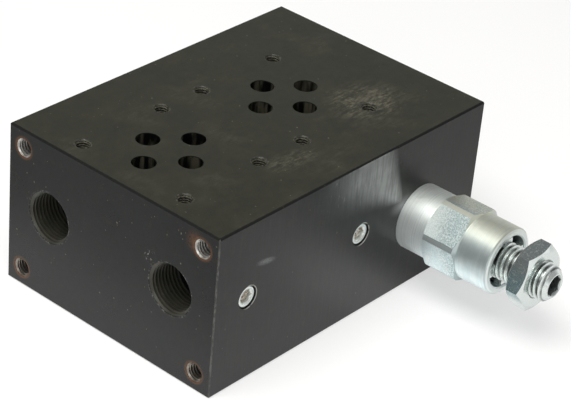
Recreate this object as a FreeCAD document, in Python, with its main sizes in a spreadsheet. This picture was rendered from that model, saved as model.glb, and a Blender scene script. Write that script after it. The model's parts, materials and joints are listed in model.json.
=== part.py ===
import FreeCAD, Part

import math
import os

import Sketcher

# Pressure relief valve plate: a drilled steel block with two valve stations on top,
# two main ports in one end and a screw-in relief cartridge in one long side.
# The origin is the centre of the block's underside. X runs along the block towards
# the cartridge's end, -Y is the side that holds the cartridge, and Z is up.
# Lengths are in millimetres.

SIZES = [
    # The block
    ("block_length", 120.0, "end to end"),
    ("block_width", 85.0, "side to side"),
    ("block_height", 54.0, "underside to valve face"),
    ("edge_break", 0.4, "broken outer edges"),
    ("drill_point", 118.0, "point of every drilling, in degrees"),
    # The two galleries and their ports in the end face
    ("gallery_spacing", 50.0, "between the two galleries"),
    ("gallery_height", 29.0, "above the underside"),
    ("gallery_diameter", 10.0, ""),
    ("near_gallery_stop", 2.0, "end of the near gallery short of the cartridge axis"),
    ("far_gallery_overrun", 4.0, "end of the far gallery past the cartridge axis"),
    ("port_diameter", 16.66, "G3/8 thread over its crests"),
    ("port_thread_height", 0.855, "crest to tapping drill"),
    ("port_thread_depth", 12.0, ""),
    ("port_drill_depth", 16.0, ""),
    ("port_countersink", 0.15, "mouth past the crests"),
    # The four tapped holes at the corners of the end face
    ("corner_hole_diameter", 6.0, "M6 thread over its crests"),
    ("corner_hole_countersink", 0.15, "mouth past the crests"),
    ("corner_hole_depth", 14.0, ""),
    ("corner_hole_side", 6.25, "from the long sides"),
    ("corner_hole_end", 6.0, "from the top and the underside"),
    # The two valve stations, to the standard pattern for size 6 valves
    ("station_first", 24.0, "service port line of the first station from the port end"),
    ("station_pitch", 50.0, "from one station to the next"),
    ("station_edge", 21.5, "first bolt row from the cartridge side"),
    ("valve_row_spacing", 40.5, "between the two bolt rows"),
    ("valve_near_pitch", 31.0, "between the bolts of the near row"),
    ("valve_far_pitch", 32.5, "between the bolts of the far row"),
    ("valve_far_shift", 0.75, "far row past the near row"),
    ("valve_main_line", 21.5, "pressure and tank holes from the near bolt row"),
    ("valve_service_low", 12.7, "first service hole from the near bolt row"),
    ("valve_service_high", 30.2, "second service hole from the near bolt row"),
    ("valve_service_side", 15.5, "service holes from the first bolt"),
    ("valve_main_near", 5.1, "nearer main hole from the first bolt"),
    ("valve_main_far", 25.9, "further main hole from the first bolt"),
    ("valve_hole_diameter", 7.5, "the four working holes of a station"),
    ("valve_bolt_diameter", 5.0, "M5 thread over its crests"),
    ("valve_bolt_countersink", 0.15, "mouth past the crests"),
    ("valve_bolt_depth", 12.0, ""),
    # Service ports in the underside, one for each service hole
    ("service_shift", 7.2, "axis of a service port from its service hole"),
    ("service_overlap", 2.0, "service hole below the floor of its port's drilling"),
    # Cross drillings and their plugs
    ("cross_overrun", 2.0, "past the line of the main holes"),
    ("plug_bore_diameter", 7.4, "M8 fine thread at its pitch line"),
    ("plug_bore_step", 0.4, "radial, down to the cross drilling"),
    ("plug_length", 8.0, ""),
    ("plug_recess", 0.5, "below the face"),
    ("plug_room", 1.2, "behind the plug"),
    ("plug_chamfer", 0.4, ""),
    ("plug_socket_flats", 4.0, "key size"),
    ("plug_socket_depth", 4.2, ""),
    ("plug_socket_lead", 0.3, "chamfer round the socket"),
    # The cavity for the cartridge
    ("cavity_from_end", 92.0, "axis from the port end"),
    ("cavity_height", 24.0, "axis above the underside"),
    ("cavity_mouth_flare", 0.975, "cone that holds the upper seal, wider than the thread"),
    ("cavity_mouth_depth", 2.6, ""),
    ("cavity_thread_diameter", 19.05, "3/4-16 thread over its crests"),
    ("cavity_side_diameter", 15.9, "ring chamber at the near gallery"),
    ("cavity_nose_diameter", 12.7, "sealing bore"),
    ("cavity_nose_lead", 0.5, "chamfer into the sealing bore"),
    ("nose_land", 1.8, "sealing bore before the seal groove"),
    ("nose_end_room", 1.0, "sealing bore past the nose"),
    ("nose_drill_diameter", 7.0, "on to the far gallery"),
    # The cartridge body, stations measured outwards from the block's face
    ("hexagon_start", 10.0, ""),
    ("hexagon_end", 23.1, ""),
    ("hexagon_flats", 22.0, "wrench size"),
    ("hexagon_corner_rise", 1.2, "turned corners above the flats"),
    ("hexagon_face_step", 0.5, "flat ring of each end below the flats"),
    ("hexagon_angle", 107.5, "direction of one corner, in degrees"),
    ("collar_step", 0.2, "round part on the block's face, below the flats"),
    ("sleeve_step", 0.1, "sleeve below the flats"),
    ("sleeve_end", 34.6, ""),
    ("sleeve_chamfer", 0.8, "outer lip"),
    ("sleeve_lead", 0.4, "inner lip"),
    ("neck_beyond", 0.1, "neck past the cavity's cone"),
    ("body_thread_depth", 11.8, "end of the body's thread"),
    ("ring_room", 0.95, "ring chamber round the body's shank"),
    ("body_shank_depth", 25.0, "end of the body"),
    ("body_undercut", 0.6, "chamfer at the ends of the thread"),
    ("side_hole_diameter", 4.0, "holes into the ring chamber"),
    ("side_hole_count", 4, ""),
    ("guide_bore_diameter", 10.0, "poppet guide"),
    ("spring_bore_diameter", 12.0, "spring chamber"),
    ("spring_bore_depth", 8.0, "step down to the guide"),
    ("spring_bore_top", 19.5, "end of the fine bore"),
    ("screw_bore_step", 0.4, "wider again round the screw's thread"),
    ("bush_bore_diameter", 17.0, ""),
    ("bush_seat", 24.5, "shoulder that the bush bears on"),
    # The seat in the cartridge's nose, depths measured inwards from the face
    ("seat_edge_depth", 20.9, "sharp seat that the poppet closes"),
    ("seat_bore_diameter", 6.0, ""),
    ("seat_bevel", 0.4, "bevel outside the sharp seat"),
    ("seat_nose_depth", 37.0, "end of the nose"),
    ("seat_nose_chamfer", 0.8, ""),
    ("seat_groove_lip", 2.0, "end of the nose past the seal groove"),
    ("backup_width", 1.3, "backup ring beside the nose seal"),
    ("ring_gap", 0.06, "between the rings in the groove"),
    # The poppet and its spring
    ("poppet_half_angle", 30.0, "of the cone, in degrees"),
    ("poppet_tip_diameter", 2.4, ""),
    ("poppet_head_diameter", 8.6, ""),
    ("poppet_head_band", 0.8, "straight band above the cone"),
    ("poppet_waist_diameter", 5.4, ""),
    ("poppet_waist_length", 3.6, ""),
    ("poppet_land_rise", 0.4, "shoulder under the spring plate, above the guide"),
    ("poppet_ring_width", 0.8, "oil groove in the guide land"),
    ("poppet_ring_depth", 0.47, ""),
    ("poppet_pilot_diameter", 4.6, ""),
    ("poppet_pilot_length", 4.6, ""),
    ("plate_thickness", 2.4, "lower spring plate"),
    ("plate_hub_height", 1.2, ""),
    ("spring_mean_diameter", 8.4, ""),
    ("spring_wire", 2.2, ""),
    ("spring_coils", 5.2, "all coils"),
    ("closed_coils", 1.0, "at each end"),
    ("button_seat", 11.0, "spring face of the button"),
    ("button_length", 6.0, ""),
    ("button_pilot_length", 2.6, ""),
    ("button_groove_start", 2.0, "seal groove above the spring face"),
    ("button_groove_width", 2.3, ""),
    ("button_chamfer", 0.5, ""),
    # The bush, the adjusting screw and its nut
    ("bush_recess", 0.4, "below the sleeve's end"),
    ("bush_slot_depth", 3.5, ""),
    ("bush_slot_count", 4, ""),
    ("bush_tooth_width", 3.9, ""),
    ("bush_mouth_room", 0.3, "between the teeth and the screw's thread"),
    ("bush_angle", 95.0, "direction of one tooth, in degrees"),
    ("thread_diameter", 12.0, "M12 thread over its crests"),
    ("thread_height", 0.95, "root to crest"),
    ("screw_length", 35.0, ""),
    ("screw_dog_diameter", 8.4, "plain end that bears on the button"),
    ("screw_dog_length", 6.0, ""),
    ("screw_dog_chamfer", 0.5, "inner end"),
    ("screw_chamfer", 1.0, "outer end"),
    ("screw_socket_flats", 6.0, "key size"),
    ("screw_socket_depth", 6.5, ""),
    ("screw_socket_lead", 0.4, "chamfer round the socket"),
    ("screw_socket_angle", 14.0, "direction of one corner, in degrees"),
    ("nut_stand", 6.4, "nut clear of the sleeve"),
    ("nut_thickness", 6.0, ""),
    ("nut_flats", 19.0, "wrench size"),
    ("nut_face_step", 0.5, "flat ring of each end below the flats"),
    ("nut_countersink", 0.4, "mouths past the crests"),
    ("corner_angle", 30.0, "chamfer on the corners of nut and hexagon, in degrees"),
    ("nut_angle", 127.0, "direction of one corner, in degrees"),
    # Seals
    ("shoulder_seal_wire", 1.6, ""),
    ("shoulder_seal_depth", 1.1, "centre below the face"),
    ("nose_seal_wire", 1.76, ""),
    ("button_seal_wire", 1.76, ""),
    # Clearances
    ("thread_clearance", 0.05, "radial, between mating threads"),
    ("slide_clearance", 0.03, "radial, at the poppet and the button"),
    ("seat_clearance", 0.02, "radial, where the seat is pressed in"),
    ("plate_clearance", 0.25, "radial, at the lower spring plate"),
    ("seal_clearance", 0.02, "beside a seal"),
    ("shoulder_seal_room", 0.1375, "radial, outside the shoulder seal"),
    ("button_seal_room", 0.07, "radial, outside the button's seal"),
    ("spring_clearance", 0.2, "radial, inside the spring"),
]

VERTICAL = "V_Axis"
RIGHT_ANGLE = 90.0
FULL_TURN = 360.0
HEXAGON = 6
MOUTH_ANGLE = 90.0
TUBE_POINTS_PER_TURN = 16

doc = FreeCAD.newDocument("relief_valve_plate")
sheet = doc.addObject("Spreadsheet::Sheet", "size")


class Size:
    """A length with its present value and the words that the document binds to."""

    def __init__(self, value, text):
        self.value = value
        self.text = text

    def __add__(self, other):
        other = as_size(other)
        return Size(self.value + other.value, "(%s + %s)" % (self.text, other.text))

    def __sub__(self, other):
        other = as_size(other)
        return Size(self.value - other.value, "(%s - %s)" % (self.text, other.text))

    def __mul__(self, other):
        other = as_size(other)
        return Size(self.value * other.value, "(%s * %s)" % (self.text, other.text))

    def __truediv__(self, other):
        other = as_size(other)
        return Size(self.value / other.value, "(%s / %s)" % (self.text, other.text))

    def __neg__(self):
        return Size(-self.value, "(0 - %s)" % self.text)

    def tangent(self):
        """Tangent of an angle that is held in degrees."""
        return Size(math.tan(math.radians(self.value)), "tan(%s)" % self.text)


def as_size(value):
    return value if isinstance(value, Size) else Size(float(value), "(%.9g)" % value)


def fill_sheet():
    """Write the driving sizes into the sheet and return them by name."""
    found = {}
    for row, (name, value, words) in enumerate(SIZES, start=1):
        sheet.set("A%d" % row, name.replace("_", " "))
        sheet.set("B%d" % row, "%.9g" % value)
        sheet.setAlias("B%d" % row, name)
        if words:
            sheet.set("C%d" % row, words)
        found[name] = Size(value, "size.%s" % name)
    doc.recompute()
    for name in found:
        found[name].value = float(sheet.get(name))
    return found


D = fill_sheet()
ZERO = as_size(0.0)


def bind(thing, path, size):
    thing.setExpression(path, size.text)


def radius(name):
    return D[name] / 2.0


# Sketches and features

def new_body(name):
    body = doc.addObject("PartDesign::Body", name)
    body.Label = name
    return body


def new_sketch(body, name, plane, offset=None, turn=None, shift=None):
    """A sketch on one of the body's origin planes, moved off it along its normal."""
    sketch = body.newObject("Sketcher::SketchObject", name)
    support = [f for f in body.Origin.OriginFeatures if f.Role == plane][0]
    sketch.AttachmentSupport = (support, [""])
    sketch.MapMode = "FlatFace"
    if offset is not None:
        bind(sketch, ".AttachmentOffset.Base.z", offset)
    if shift is not None:
        bind(sketch, ".AttachmentOffset.Base.x", shift[0])
        bind(sketch, ".AttachmentOffset.Base.y", shift[1])
    if turn is not None:
        bind(sketch, ".AttachmentOffset.Rotation.Angle", turn)
    return sketch


def pin_point(sketch, geometry, position, x, y):
    """Fix one point of the sketch at two distances from the sketch's origin."""
    for kind, size in (("DistanceX", x), ("DistanceY", y)):
        number = sketch.addConstraint(
            Sketcher.Constraint(kind, -1, 1, geometry, position, size.value)
        )
        bind(sketch, "Constraints[%d]" % number, size)


def draw_outline(sketch, points):
    """Draw a closed outline of straight lines through the given points."""
    vectors = [FreeCAD.Vector(x.value, y.value, 0) for x, y in points]
    count = len(points)
    for i in range(count):
        sketch.addGeometry(Part.LineSegment(vectors[i], vectors[(i + 1) % count]), False)
    for i in range(count):
        sketch.addConstraint(Sketcher.Constraint("Coincident", i, 2, (i + 1) % count, 1))
    for i, (x, y) in enumerate(points):
        pin_point(sketch, i, 1, x, y)


def draw_circles(sketch, centres, size):
    """Draw equal circles of the given radius."""
    for x, y in centres:
        middle = FreeCAD.Vector(x.value, y.value, 0)
        ring = Part.Circle(middle, FreeCAD.Vector(0, 0, 1), size.value)
        number = sketch.addGeometry(ring, False)
        pin_point(sketch, number, 3, x, y)
        held = sketch.addConstraint(Sketcher.Constraint("Radius", number, size.value))
        bind(sketch, "Constraints[%d]" % held, size)


def hexagon_points(flats):
    """Corners of a hexagon across the given flats, the first on the sketch's x axis."""
    corner = flats / math.sqrt(3.0)
    angles = [math.radians(FULL_TURN * i / HEXAGON) for i in range(HEXAGON)]
    return [(corner * math.cos(a), corner * math.sin(a)) for a in angles]


def closed_volume(body):
    doc.recompute()
    return body.Shape.Volume


def revolve(body, name, points):
    """Turn a closed outline of (radius, station) points about the body's Z axis."""
    sketch = new_sketch(body, name + "_outline", "XZ_Plane")
    draw_outline(sketch, points)
    feature = body.newObject("PartDesign::Revolution", name)
    feature.Profile = sketch
    feature.ReferenceAxis = (sketch, [VERTICAL])
    feature.Angle = FULL_TURN
    closed_volume(body)
    return feature


def groove(body, name, points, plane="XZ_Plane", offset=None, shift=None):
    """Cut a turned recess, and make sure that it removed something."""
    before = closed_volume(body)
    sketch = new_sketch(body, name + "_outline", plane, offset, shift=shift)
    draw_outline(sketch, points)
    feature = body.newObject("PartDesign::Groove", name)
    feature.Profile = sketch
    feature.ReferenceAxis = (sketch, [VERTICAL])
    feature.Angle = FULL_TURN
    if closed_volume(body) >= before:
        raise RuntimeError(name + " cut nothing")
    return feature


def pad(body, name, sketch, length):
    feature = body.newObject("PartDesign::Pad", name)
    feature.Profile = sketch
    bind(feature, "Length", length)
    closed_volume(body)
    return feature


def pocket(body, name, sketch, length, forward=False):
    """Cut a sketch into the body; forward is along the sketch's normal."""
    before = closed_volume(body)
    feature = body.newObject("PartDesign::Pocket", name)
    feature.Profile = sketch
    bind(feature, "Length", length)
    feature.Reversed = forward
    if closed_volume(body) >= before:
        raise RuntimeError(name + " cut nothing")
    return feature


def drill(body, name, sketch, diameter, depth, mouth=None, forward=False, step=None):
    """Drill a hole at each circle of the sketch, with a pointed end.

    mouth is the diameter of a countersunk mouth. step is the diameter and depth of
    a wider, flat-bottomed start.
    """
    before = closed_volume(body)
    feature = body.newObject("PartDesign::Hole", name)
    feature.Profile = sketch
    feature.Reversed = forward
    feature.DepthType = "Dimension"
    feature.DrillPoint = "Angled"
    bind(feature, "DrillPointAngle", D["drill_point"])
    bind(feature, "Diameter", diameter)
    bind(feature, "Depth", depth)
    if mouth is not None:
        feature.HoleCutType = "Countersink"
        feature.HoleCutCustomValues = True
        feature.HoleCutCountersinkAngle = MOUTH_ANGLE
        bind(feature, "HoleCutDiameter", mouth)
    if step is not None:
        feature.HoleCutType = "Counterbore"
        feature.HoleCutCustomValues = True
        bind(feature, "HoleCutDiameter", step[0])
        bind(feature, "HoleCutDepth", step[1])
    if closed_volume(body) >= before:
        raise RuntimeError(name + " cut nothing")
    return feature


def polar(body, feature, name, count):
    """Repeat a feature evenly about the body's Z axis, as often as the sheet says."""
    pattern = body.newObject("PartDesign::PolarPattern", name)
    pattern.Originals = [feature]
    axis = [f for f in body.Origin.OriginFeatures if f.Role == "Z_Axis"][0]
    pattern.Axis = (axis, [""])
    pattern.Angle = FULL_TURN
    pattern.Occurrences = int(count.value)
    bind(pattern, "Occurrences", count)
    body.Tip = pattern
    closed_volume(body)
    return pattern


# Places that several pieces share

HALF_LENGTH = radius("block_length")
HALF_WIDTH = radius("block_width")
TOP = D["block_height"]
NEAR_GALLERY = -(D["gallery_spacing"] / 2.0)
FAR_GALLERY = D["gallery_spacing"] / 2.0
CAVITY_X = D["cavity_from_end"] - HALF_LENGTH
MAIN_LINE = D["station_edge"] + D["valve_main_line"] - HALF_WIDTH
NEAR_ROW = D["station_edge"] - HALF_WIDTH
PORT_CORE = radius("port_diameter") - D["port_thread_height"]
PORT_MOUTH = radius("port_diameter") + D["port_countersink"]
HEXAGON_FLAT = radius("hexagon_flats")
CONE_RADIUS = radius("cavity_thread_diameter") + D["cavity_mouth_flare"]
CAVITY_THREAD_END = D["body_thread_depth"] + D["body_undercut"]
RINGS_WIDTH = D["nose_seal_wire"] + D["backup_width"] * 2.0 + D["ring_gap"] * 4.0
RINGS_LOW = -(D["seat_nose_depth"] - D["seat_groove_lip"])
RINGS_TOP = RINGS_LOW + RINGS_WIDTH
RINGS_ROOT = (radius("cavity_nose_diameter") - D["nose_seal_wire"]
              - D["seal_clearance"] * 2.0)
BUTTON_ROOT = (radius("spring_bore_diameter") - D["button_seal_room"]
               - D["button_seal_wire"] - D["seal_clearance"])
PLATE_SEAT = -(D["spring_bore_depth"] - D["poppet_land_rise"])
SCREW_FOOT = D["button_seat"] + D["button_length"]
SCREW_CREST = radius("thread_diameter")
SCREW_ROOT = SCREW_CREST - D["thread_height"]


def station_bolt(number):
    """X of the first bolt of a station, which the valve pattern is measured from."""
    first = D["station_first"] + D["valve_service_side"] - HALF_LENGTH
    return first + D["station_pitch"] * number


def station_places(number):
    """Centres of the holes of one station on the valve face."""
    bolt = station_bolt(number)
    far_row = NEAR_ROW + D["valve_row_spacing"]
    far_bolt = bolt + D["valve_far_shift"]
    return {
        "bolts": [
            (bolt, NEAR_ROW),
            (bolt - D["valve_near_pitch"], NEAR_ROW),
            (far_bolt, far_row),
            (far_bolt - D["valve_far_pitch"], far_row),
        ],
        "main_far": (bolt - D["valve_main_far"], MAIN_LINE),
        "main_near": (bolt - D["valve_main_near"], MAIN_LINE),
        "service_low": (bolt - D["valve_service_side"], NEAR_ROW + D["valve_service_low"]),
        "service_high": (bolt - D["valve_service_side"], NEAR_ROW + D["valve_service_high"]),
    }


STATIONS = [station_places(0), station_places(1)]


def manifold_block():
    """The drilled steel block."""
    body = new_body("manifold_block")
    outline = new_sketch(body, "block_outline", "XY_Plane")
    draw_outline(outline, [
        (-HALF_LENGTH, -HALF_WIDTH), (HALF_LENGTH, -HALF_WIDTH),
        (HALF_LENGTH, HALF_WIDTH), (-HALF_LENGTH, HALF_WIDTH),
    ])
    solid = pad(body, "block_blank", outline, D["block_height"])
    broken = body.newObject("PartDesign::Chamfer", "block_edges")
    broken.Base = (solid, ["Edge%d" % (i + 1) for i in range(len(solid.Shape.Edges))])
    bind(broken, "Size", D["edge_break"])
    closed_volume(body)
    drill_valve_face(body)
    drill_port_end(body)
    drill_underside(body)
    drill_sides(body)
    bore_cavity(body)
    return body


def drill_valve_face(body):
    """Bolt holes and working holes of both stations, from the top."""
    bolts = new_sketch(body, "valve_bolt_places", "XY_Plane", TOP)
    places = [place for station in STATIONS for place in station["bolts"]]
    draw_circles(bolts, places, radius("valve_bolt_diameter"))
    drill(body, "valve_bolt_holes", bolts, D["valve_bolt_diameter"],
          D["valve_bolt_depth"],
          D["valve_bolt_diameter"] + D["valve_bolt_countersink"] * 2.0)
    mains = new_sketch(body, "valve_main_places", "XY_Plane", TOP)
    places = [station[key] for station in STATIONS for key in ("main_far", "main_near")]
    draw_circles(mains, places, radius("valve_hole_diameter"))
    drill(body, "valve_main_holes", mains, D["valve_hole_diameter"],
          TOP - D["gallery_height"])
    services = new_sketch(body, "valve_service_places", "XY_Plane", TOP)
    places = [station[key] for station in STATIONS
              for key in ("service_low", "service_high")]
    draw_circles(services, places, radius("valve_hole_diameter"))
    drill(body, "valve_service_holes", services, D["valve_hole_diameter"],
          TOP - D["port_drill_depth"] + D["service_overlap"])


def drill_port_end(body):
    """Main ports, galleries and corner holes, from the end at -X."""
    ports = new_sketch(body, "port_places", "YZ_Plane", -HALF_LENGTH)
    draw_circles(ports, [(NEAR_GALLERY, D["gallery_height"]),
                         (FAR_GALLERY, D["gallery_height"])], PORT_CORE)
    drill(body, "port_cores", ports, PORT_CORE * 2.0, D["port_drill_depth"],
          PORT_MOUTH * 2.0, forward=True)
    threads = new_sketch(body, "port_thread_places", "YZ_Plane", -HALF_LENGTH)
    draw_circles(threads, [(NEAR_GALLERY, D["gallery_height"]),
                           (FAR_GALLERY, D["gallery_height"])], radius("port_diameter"))
    pocket(body, "port_threads", threads, D["port_thread_depth"], forward=True)
    near = new_sketch(body, "near_gallery_place", "YZ_Plane", -HALF_LENGTH)
    draw_circles(near, [(NEAR_GALLERY, D["gallery_height"])], radius("gallery_diameter"))
    pocket(body, "near_gallery", near, D["cavity_from_end"] - D["near_gallery_stop"],
           forward=True)
    far = new_sketch(body, "far_gallery_place", "YZ_Plane", -HALF_LENGTH)
    draw_circles(far, [(FAR_GALLERY, D["gallery_height"])], radius("gallery_diameter"))
    drill(body, "far_gallery", far, D["gallery_diameter"],
          D["cavity_from_end"] + D["far_gallery_overrun"], forward=True)
    corners = new_sketch(body, "corner_hole_places", "YZ_Plane", -HALF_LENGTH)
    across = HALF_WIDTH - D["corner_hole_side"]
    low = D["corner_hole_end"]
    places = [(y, z) for y in (-across, across) for z in (low, TOP - low)]
    draw_circles(corners, places, radius("corner_hole_diameter"))
    drill(body, "corner_holes", corners, D["corner_hole_diameter"],
          D["corner_hole_depth"],
          D["corner_hole_diameter"] + D["corner_hole_countersink"] * 2.0, forward=True)


def service_places():
    """Centres of the service ports in the underside."""
    low = [station["service_low"] for station in STATIONS]
    high = [station["service_high"] for station in STATIONS]
    return ([(x, y - D["service_shift"]) for x, y in low]
            + [(x, y + D["service_shift"]) for x, y in high])


def drill_underside(body):
    """Service ports, from below."""
    cores = new_sketch(body, "service_places", "XY_Plane")
    draw_circles(cores, service_places(), PORT_CORE)
    drill(body, "service_cores", cores, PORT_CORE * 2.0, D["port_drill_depth"],
          PORT_MOUTH * 2.0, forward=True)
    threads = new_sketch(body, "service_thread_places", "XY_Plane")
    draw_circles(threads, service_places(), radius("port_diameter"))
    pocket(body, "service_threads", threads, D["port_thread_depth"], forward=True)


def side_plug_places():
    """X of the plugs in the cartridge side and in the back."""
    return ([station["main_far"][0] for station in STATIONS],
            [station["main_near"][0] for station in STATIONS])


def drill_sides(body):
    """Cross drillings from both long sides to the main holes, with plug bores."""
    front, back = side_plug_places()
    step = (D["plug_bore_diameter"],
            D["plug_recess"] + D["plug_length"] + D["plug_room"])
    bore = radius("plug_bore_diameter") - D["plug_bore_step"]
    reach = MAIN_LINE + HALF_WIDTH + D["cross_overrun"]
    near = new_sketch(body, "front_cross_places", "XZ_Plane", HALF_WIDTH)
    draw_circles(near, [(x, D["gallery_height"]) for x in front], bore)
    drill(body, "front_cross_holes", near, bore * 2.0, reach, step=step)
    reach = HALF_WIDTH - MAIN_LINE + D["cross_overrun"]
    far = new_sketch(body, "back_cross_places", "XZ_Plane", -HALF_WIDTH)
    draw_circles(far, [(x, D["gallery_height"]) for x in back], bore)
    drill(body, "back_cross_holes", far, bore * 2.0, reach, step=step, forward=True)


def bore_cavity(body):
    """The stepped cavity for the cartridge, turned about its own axis."""
    thread = radius("cavity_thread_diameter")
    side = radius("cavity_side_diameter")
    nose = radius("cavity_nose_diameter")
    nose_wide = nose + D["cavity_nose_lead"]
    pilot = radius("nose_drill_diameter")
    side_floor = -RINGS_TOP - D["nose_land"]
    nose_start = side_floor + D["cavity_nose_lead"]
    nose_floor = D["seat_nose_depth"] + D["nose_end_room"]
    gallery = HALF_WIDTH + FAR_GALLERY
    groove(body, "cartridge_cavity", [
        (ZERO, ZERO), (CONE_RADIUS, ZERO), (thread, D["cavity_mouth_depth"]),
        (thread, CAVITY_THREAD_END), (side, CAVITY_THREAD_END),
        (side, side_floor), (nose_wide, side_floor), (nose, nose_start),
        (nose, nose_floor), (pilot, nose_floor), (pilot, gallery), (ZERO, gallery),
    ], "XY_Plane", D["cavity_height"], (CAVITY_X, -HALF_WIDTH))


# The cartridge. Each of its pieces is turned about its own Z axis, which points out
# of the block, with its zero station on the block's face.

def place_on_cartridge(body):
    """Lay the piece's Z axis along the cartridge axis, pointing out of the block."""
    body.Placement = FreeCAD.Placement(
        FreeCAD.Vector(0, 0, 0), FreeCAD.Rotation(FreeCAD.Vector(1, 0, 0), RIGHT_ANGLE))
    bind(body, ".Placement.Base.x", CAVITY_X)
    bind(body, ".Placement.Base.y", -HALF_WIDTH)
    bind(body, ".Placement.Base.z", D["cavity_height"])


def neck_radius():
    """Radius of the neck, which leaves room for the seal inside the cavity's cone."""
    fall = D["cavity_mouth_flare"] * D["shoulder_seal_depth"] / D["cavity_mouth_depth"]
    return CONE_RADIUS - fall - D["shoulder_seal_wire"] - D["shoulder_seal_room"]


def cartridge_body():
    """The hexagon body with its thread, spring chamber and side holes."""
    body = new_body("cartridge_body")
    collar = HEXAGON_FLAT - D["collar_step"]
    sleeve = HEXAGON_FLAT - D["sleeve_step"]
    thread = radius("cavity_thread_diameter") - D["thread_clearance"]
    neck = neck_radius()
    neck_floor = -D["cavity_mouth_depth"] - D["neck_beyond"]
    shank = radius("cavity_side_diameter") - D["ring_room"]
    guide = radius("guide_bore_diameter")
    chamber = radius("spring_bore_diameter")
    screw_bore = chamber + D["screw_bore_step"]
    bush_bore = radius("bush_bore_diameter")
    lip = D["sleeve_lead"]
    ease = D["body_undercut"]
    flats = new_sketch(body, "hexagon_outline", "XY_Plane", D["hexagon_start"],
                       D["hexagon_angle"])
    draw_outline(flats, hexagon_points(D["hexagon_flats"]))
    pad(body, "hexagon", flats, D["hexagon_end"] - D["hexagon_start"])
    trim_hexagon(body, "hexagon_corners", D["hexagon_flats"],
                 HEXAGON_FLAT + D["hexagon_corner_rise"],
                 HEXAGON_FLAT - D["hexagon_face_step"],
                 D["hexagon_start"], D["hexagon_end"])
    revolve(body, "body_turning", [
        (ZERO, -D["body_shank_depth"]), (shank, -D["body_shank_depth"]),
        (shank, -CAVITY_THREAD_END), (thread, -D["body_thread_depth"]),
        (thread, neck_floor - ease), (neck, neck_floor),
        (neck, ZERO), (collar, ZERO), (collar, D["hexagon_start"] + ease),
        (sleeve, D["hexagon_start"] + ease),
        (sleeve, D["sleeve_end"] - D["sleeve_chamfer"]),
        (sleeve - D["sleeve_chamfer"], D["sleeve_end"]), (ZERO, D["sleeve_end"]),
    ])
    groove(body, "body_bore", [
        (ZERO, -D["body_shank_depth"]), (guide, -D["body_shank_depth"]),
        (guide, -D["spring_bore_depth"]), (chamber, -D["spring_bore_depth"]),
        (chamber, D["spring_bore_top"]), (screw_bore, D["spring_bore_top"]),
        (screw_bore, D["bush_seat"]), (bush_bore, D["bush_seat"]),
        (bush_bore, D["sleeve_end"] - lip), (bush_bore + lip, D["sleeve_end"]),
        (ZERO, D["sleeve_end"]),
    ])
    holes = new_sketch(body, "side_hole_place", "YZ_Plane")
    depth = HALF_WIDTH + NEAR_GALLERY
    draw_circles(holes, [(ZERO, -depth)], radius("side_hole_diameter"))
    first = pocket(body, "side_hole", holes, radius("cavity_side_diameter"))
    polar(body, first, "side_holes", D["side_hole_count"])
    place_on_cartridge(body)
    return body


def trim_hexagon(body, name, flats, turned, face, start, end):
    """Turn the corners of a hexagon down and chamfer both of its ends."""
    fall = (turned - face) * D["corner_angle"].tangent()
    low = start + fall
    high = end - fall
    groove(body, name, [
        (face, start), (flats, start), (flats, end), (face, end),
        (turned, high), (turned, low),
    ])


def valve_seat():
    """The pressed-in nose with the sharp seat and the seal groove."""
    body = new_body("valve_seat")
    bore = radius("seat_bore_diameter")
    spigot = radius("guide_bore_diameter") - D["seat_clearance"]
    nose = radius("cavity_nose_diameter") - D["thread_clearance"]
    top = -D["seat_edge_depth"] + D["seat_bevel"]
    shoulder = -D["body_shank_depth"]
    end = -D["seat_nose_depth"]
    ease = D["seat_nose_chamfer"]
    revolve(body, "seat_turning", [
        (bore, -D["seat_edge_depth"]), (bore + D["seat_bevel"], top), (spigot, top),
        (spigot, shoulder), (nose, shoulder), (nose, RINGS_TOP), (RINGS_ROOT, RINGS_TOP),
        (RINGS_ROOT, RINGS_LOW), (nose, RINGS_LOW), (nose, end + ease),
        (nose - ease, end), (bore, end),
    ])
    place_on_cartridge(body)
    return body


def poppet():
    """The cone that closes the seat, with its guide land and spring pilot."""
    body = new_body("poppet")
    slope = D["poppet_half_angle"].tangent()
    contact = radius("seat_bore_diameter") - D["seat_clearance"]
    tip = radius("poppet_tip_diameter")
    head = radius("poppet_head_diameter")
    waist = radius("poppet_waist_diameter")
    land = radius("guide_bore_diameter") - D["slide_clearance"]
    ring = land - D["poppet_ring_depth"]
    pilot = radius("poppet_pilot_diameter")
    edge = -D["seat_edge_depth"]
    low = edge - (contact - tip) / slope
    wide = edge + (head - contact) / slope
    band = wide + D["poppet_head_band"]
    land_low = band + D["poppet_waist_length"]
    land_top = PLATE_SEAT
    ring_low = (land_low + land_top - D["poppet_ring_width"]) / 2.0
    ring_top = ring_low + D["poppet_ring_width"]
    end = land_top + D["poppet_pilot_length"]
    ease = D["button_chamfer"]
    revolve(body, "poppet_turning", [
        (ZERO, low), (tip, low), (head, wide), (head, band), (waist, band + ease),
        (waist, land_low - ease), (land, land_low), (land, ring_low), (ring, ring_low),
        (ring, ring_top), (land, ring_top), (land, land_top), (pilot, land_top),
        (pilot, end - ease), (pilot - ease, end), (ZERO, end),
    ])
    place_on_cartridge(body)
    return body


def spring_inside():
    """Radius that fits inside the spring."""
    return (D["spring_mean_diameter"] - D["spring_wire"]) / 2.0 - D["spring_clearance"]


def spring_plate():
    """The lower spring plate on the poppet's pilot."""
    body = new_body("spring_plate")
    bore = radius("poppet_pilot_diameter") + D["slide_clearance"]
    rim = radius("spring_bore_diameter") - D["plate_clearance"]
    hub = spring_inside()
    low = PLATE_SEAT
    top = low + D["plate_thickness"]
    high = top + D["plate_hub_height"]
    ease = D["plug_chamfer"]
    revolve(body, "plate_turning", [
        (bore, low), (rim - ease, low), (rim, low + ease), (rim, top), (hub, top),
        (hub, high), (bore, high),
    ])
    place_on_cartridge(body)
    return body


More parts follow.
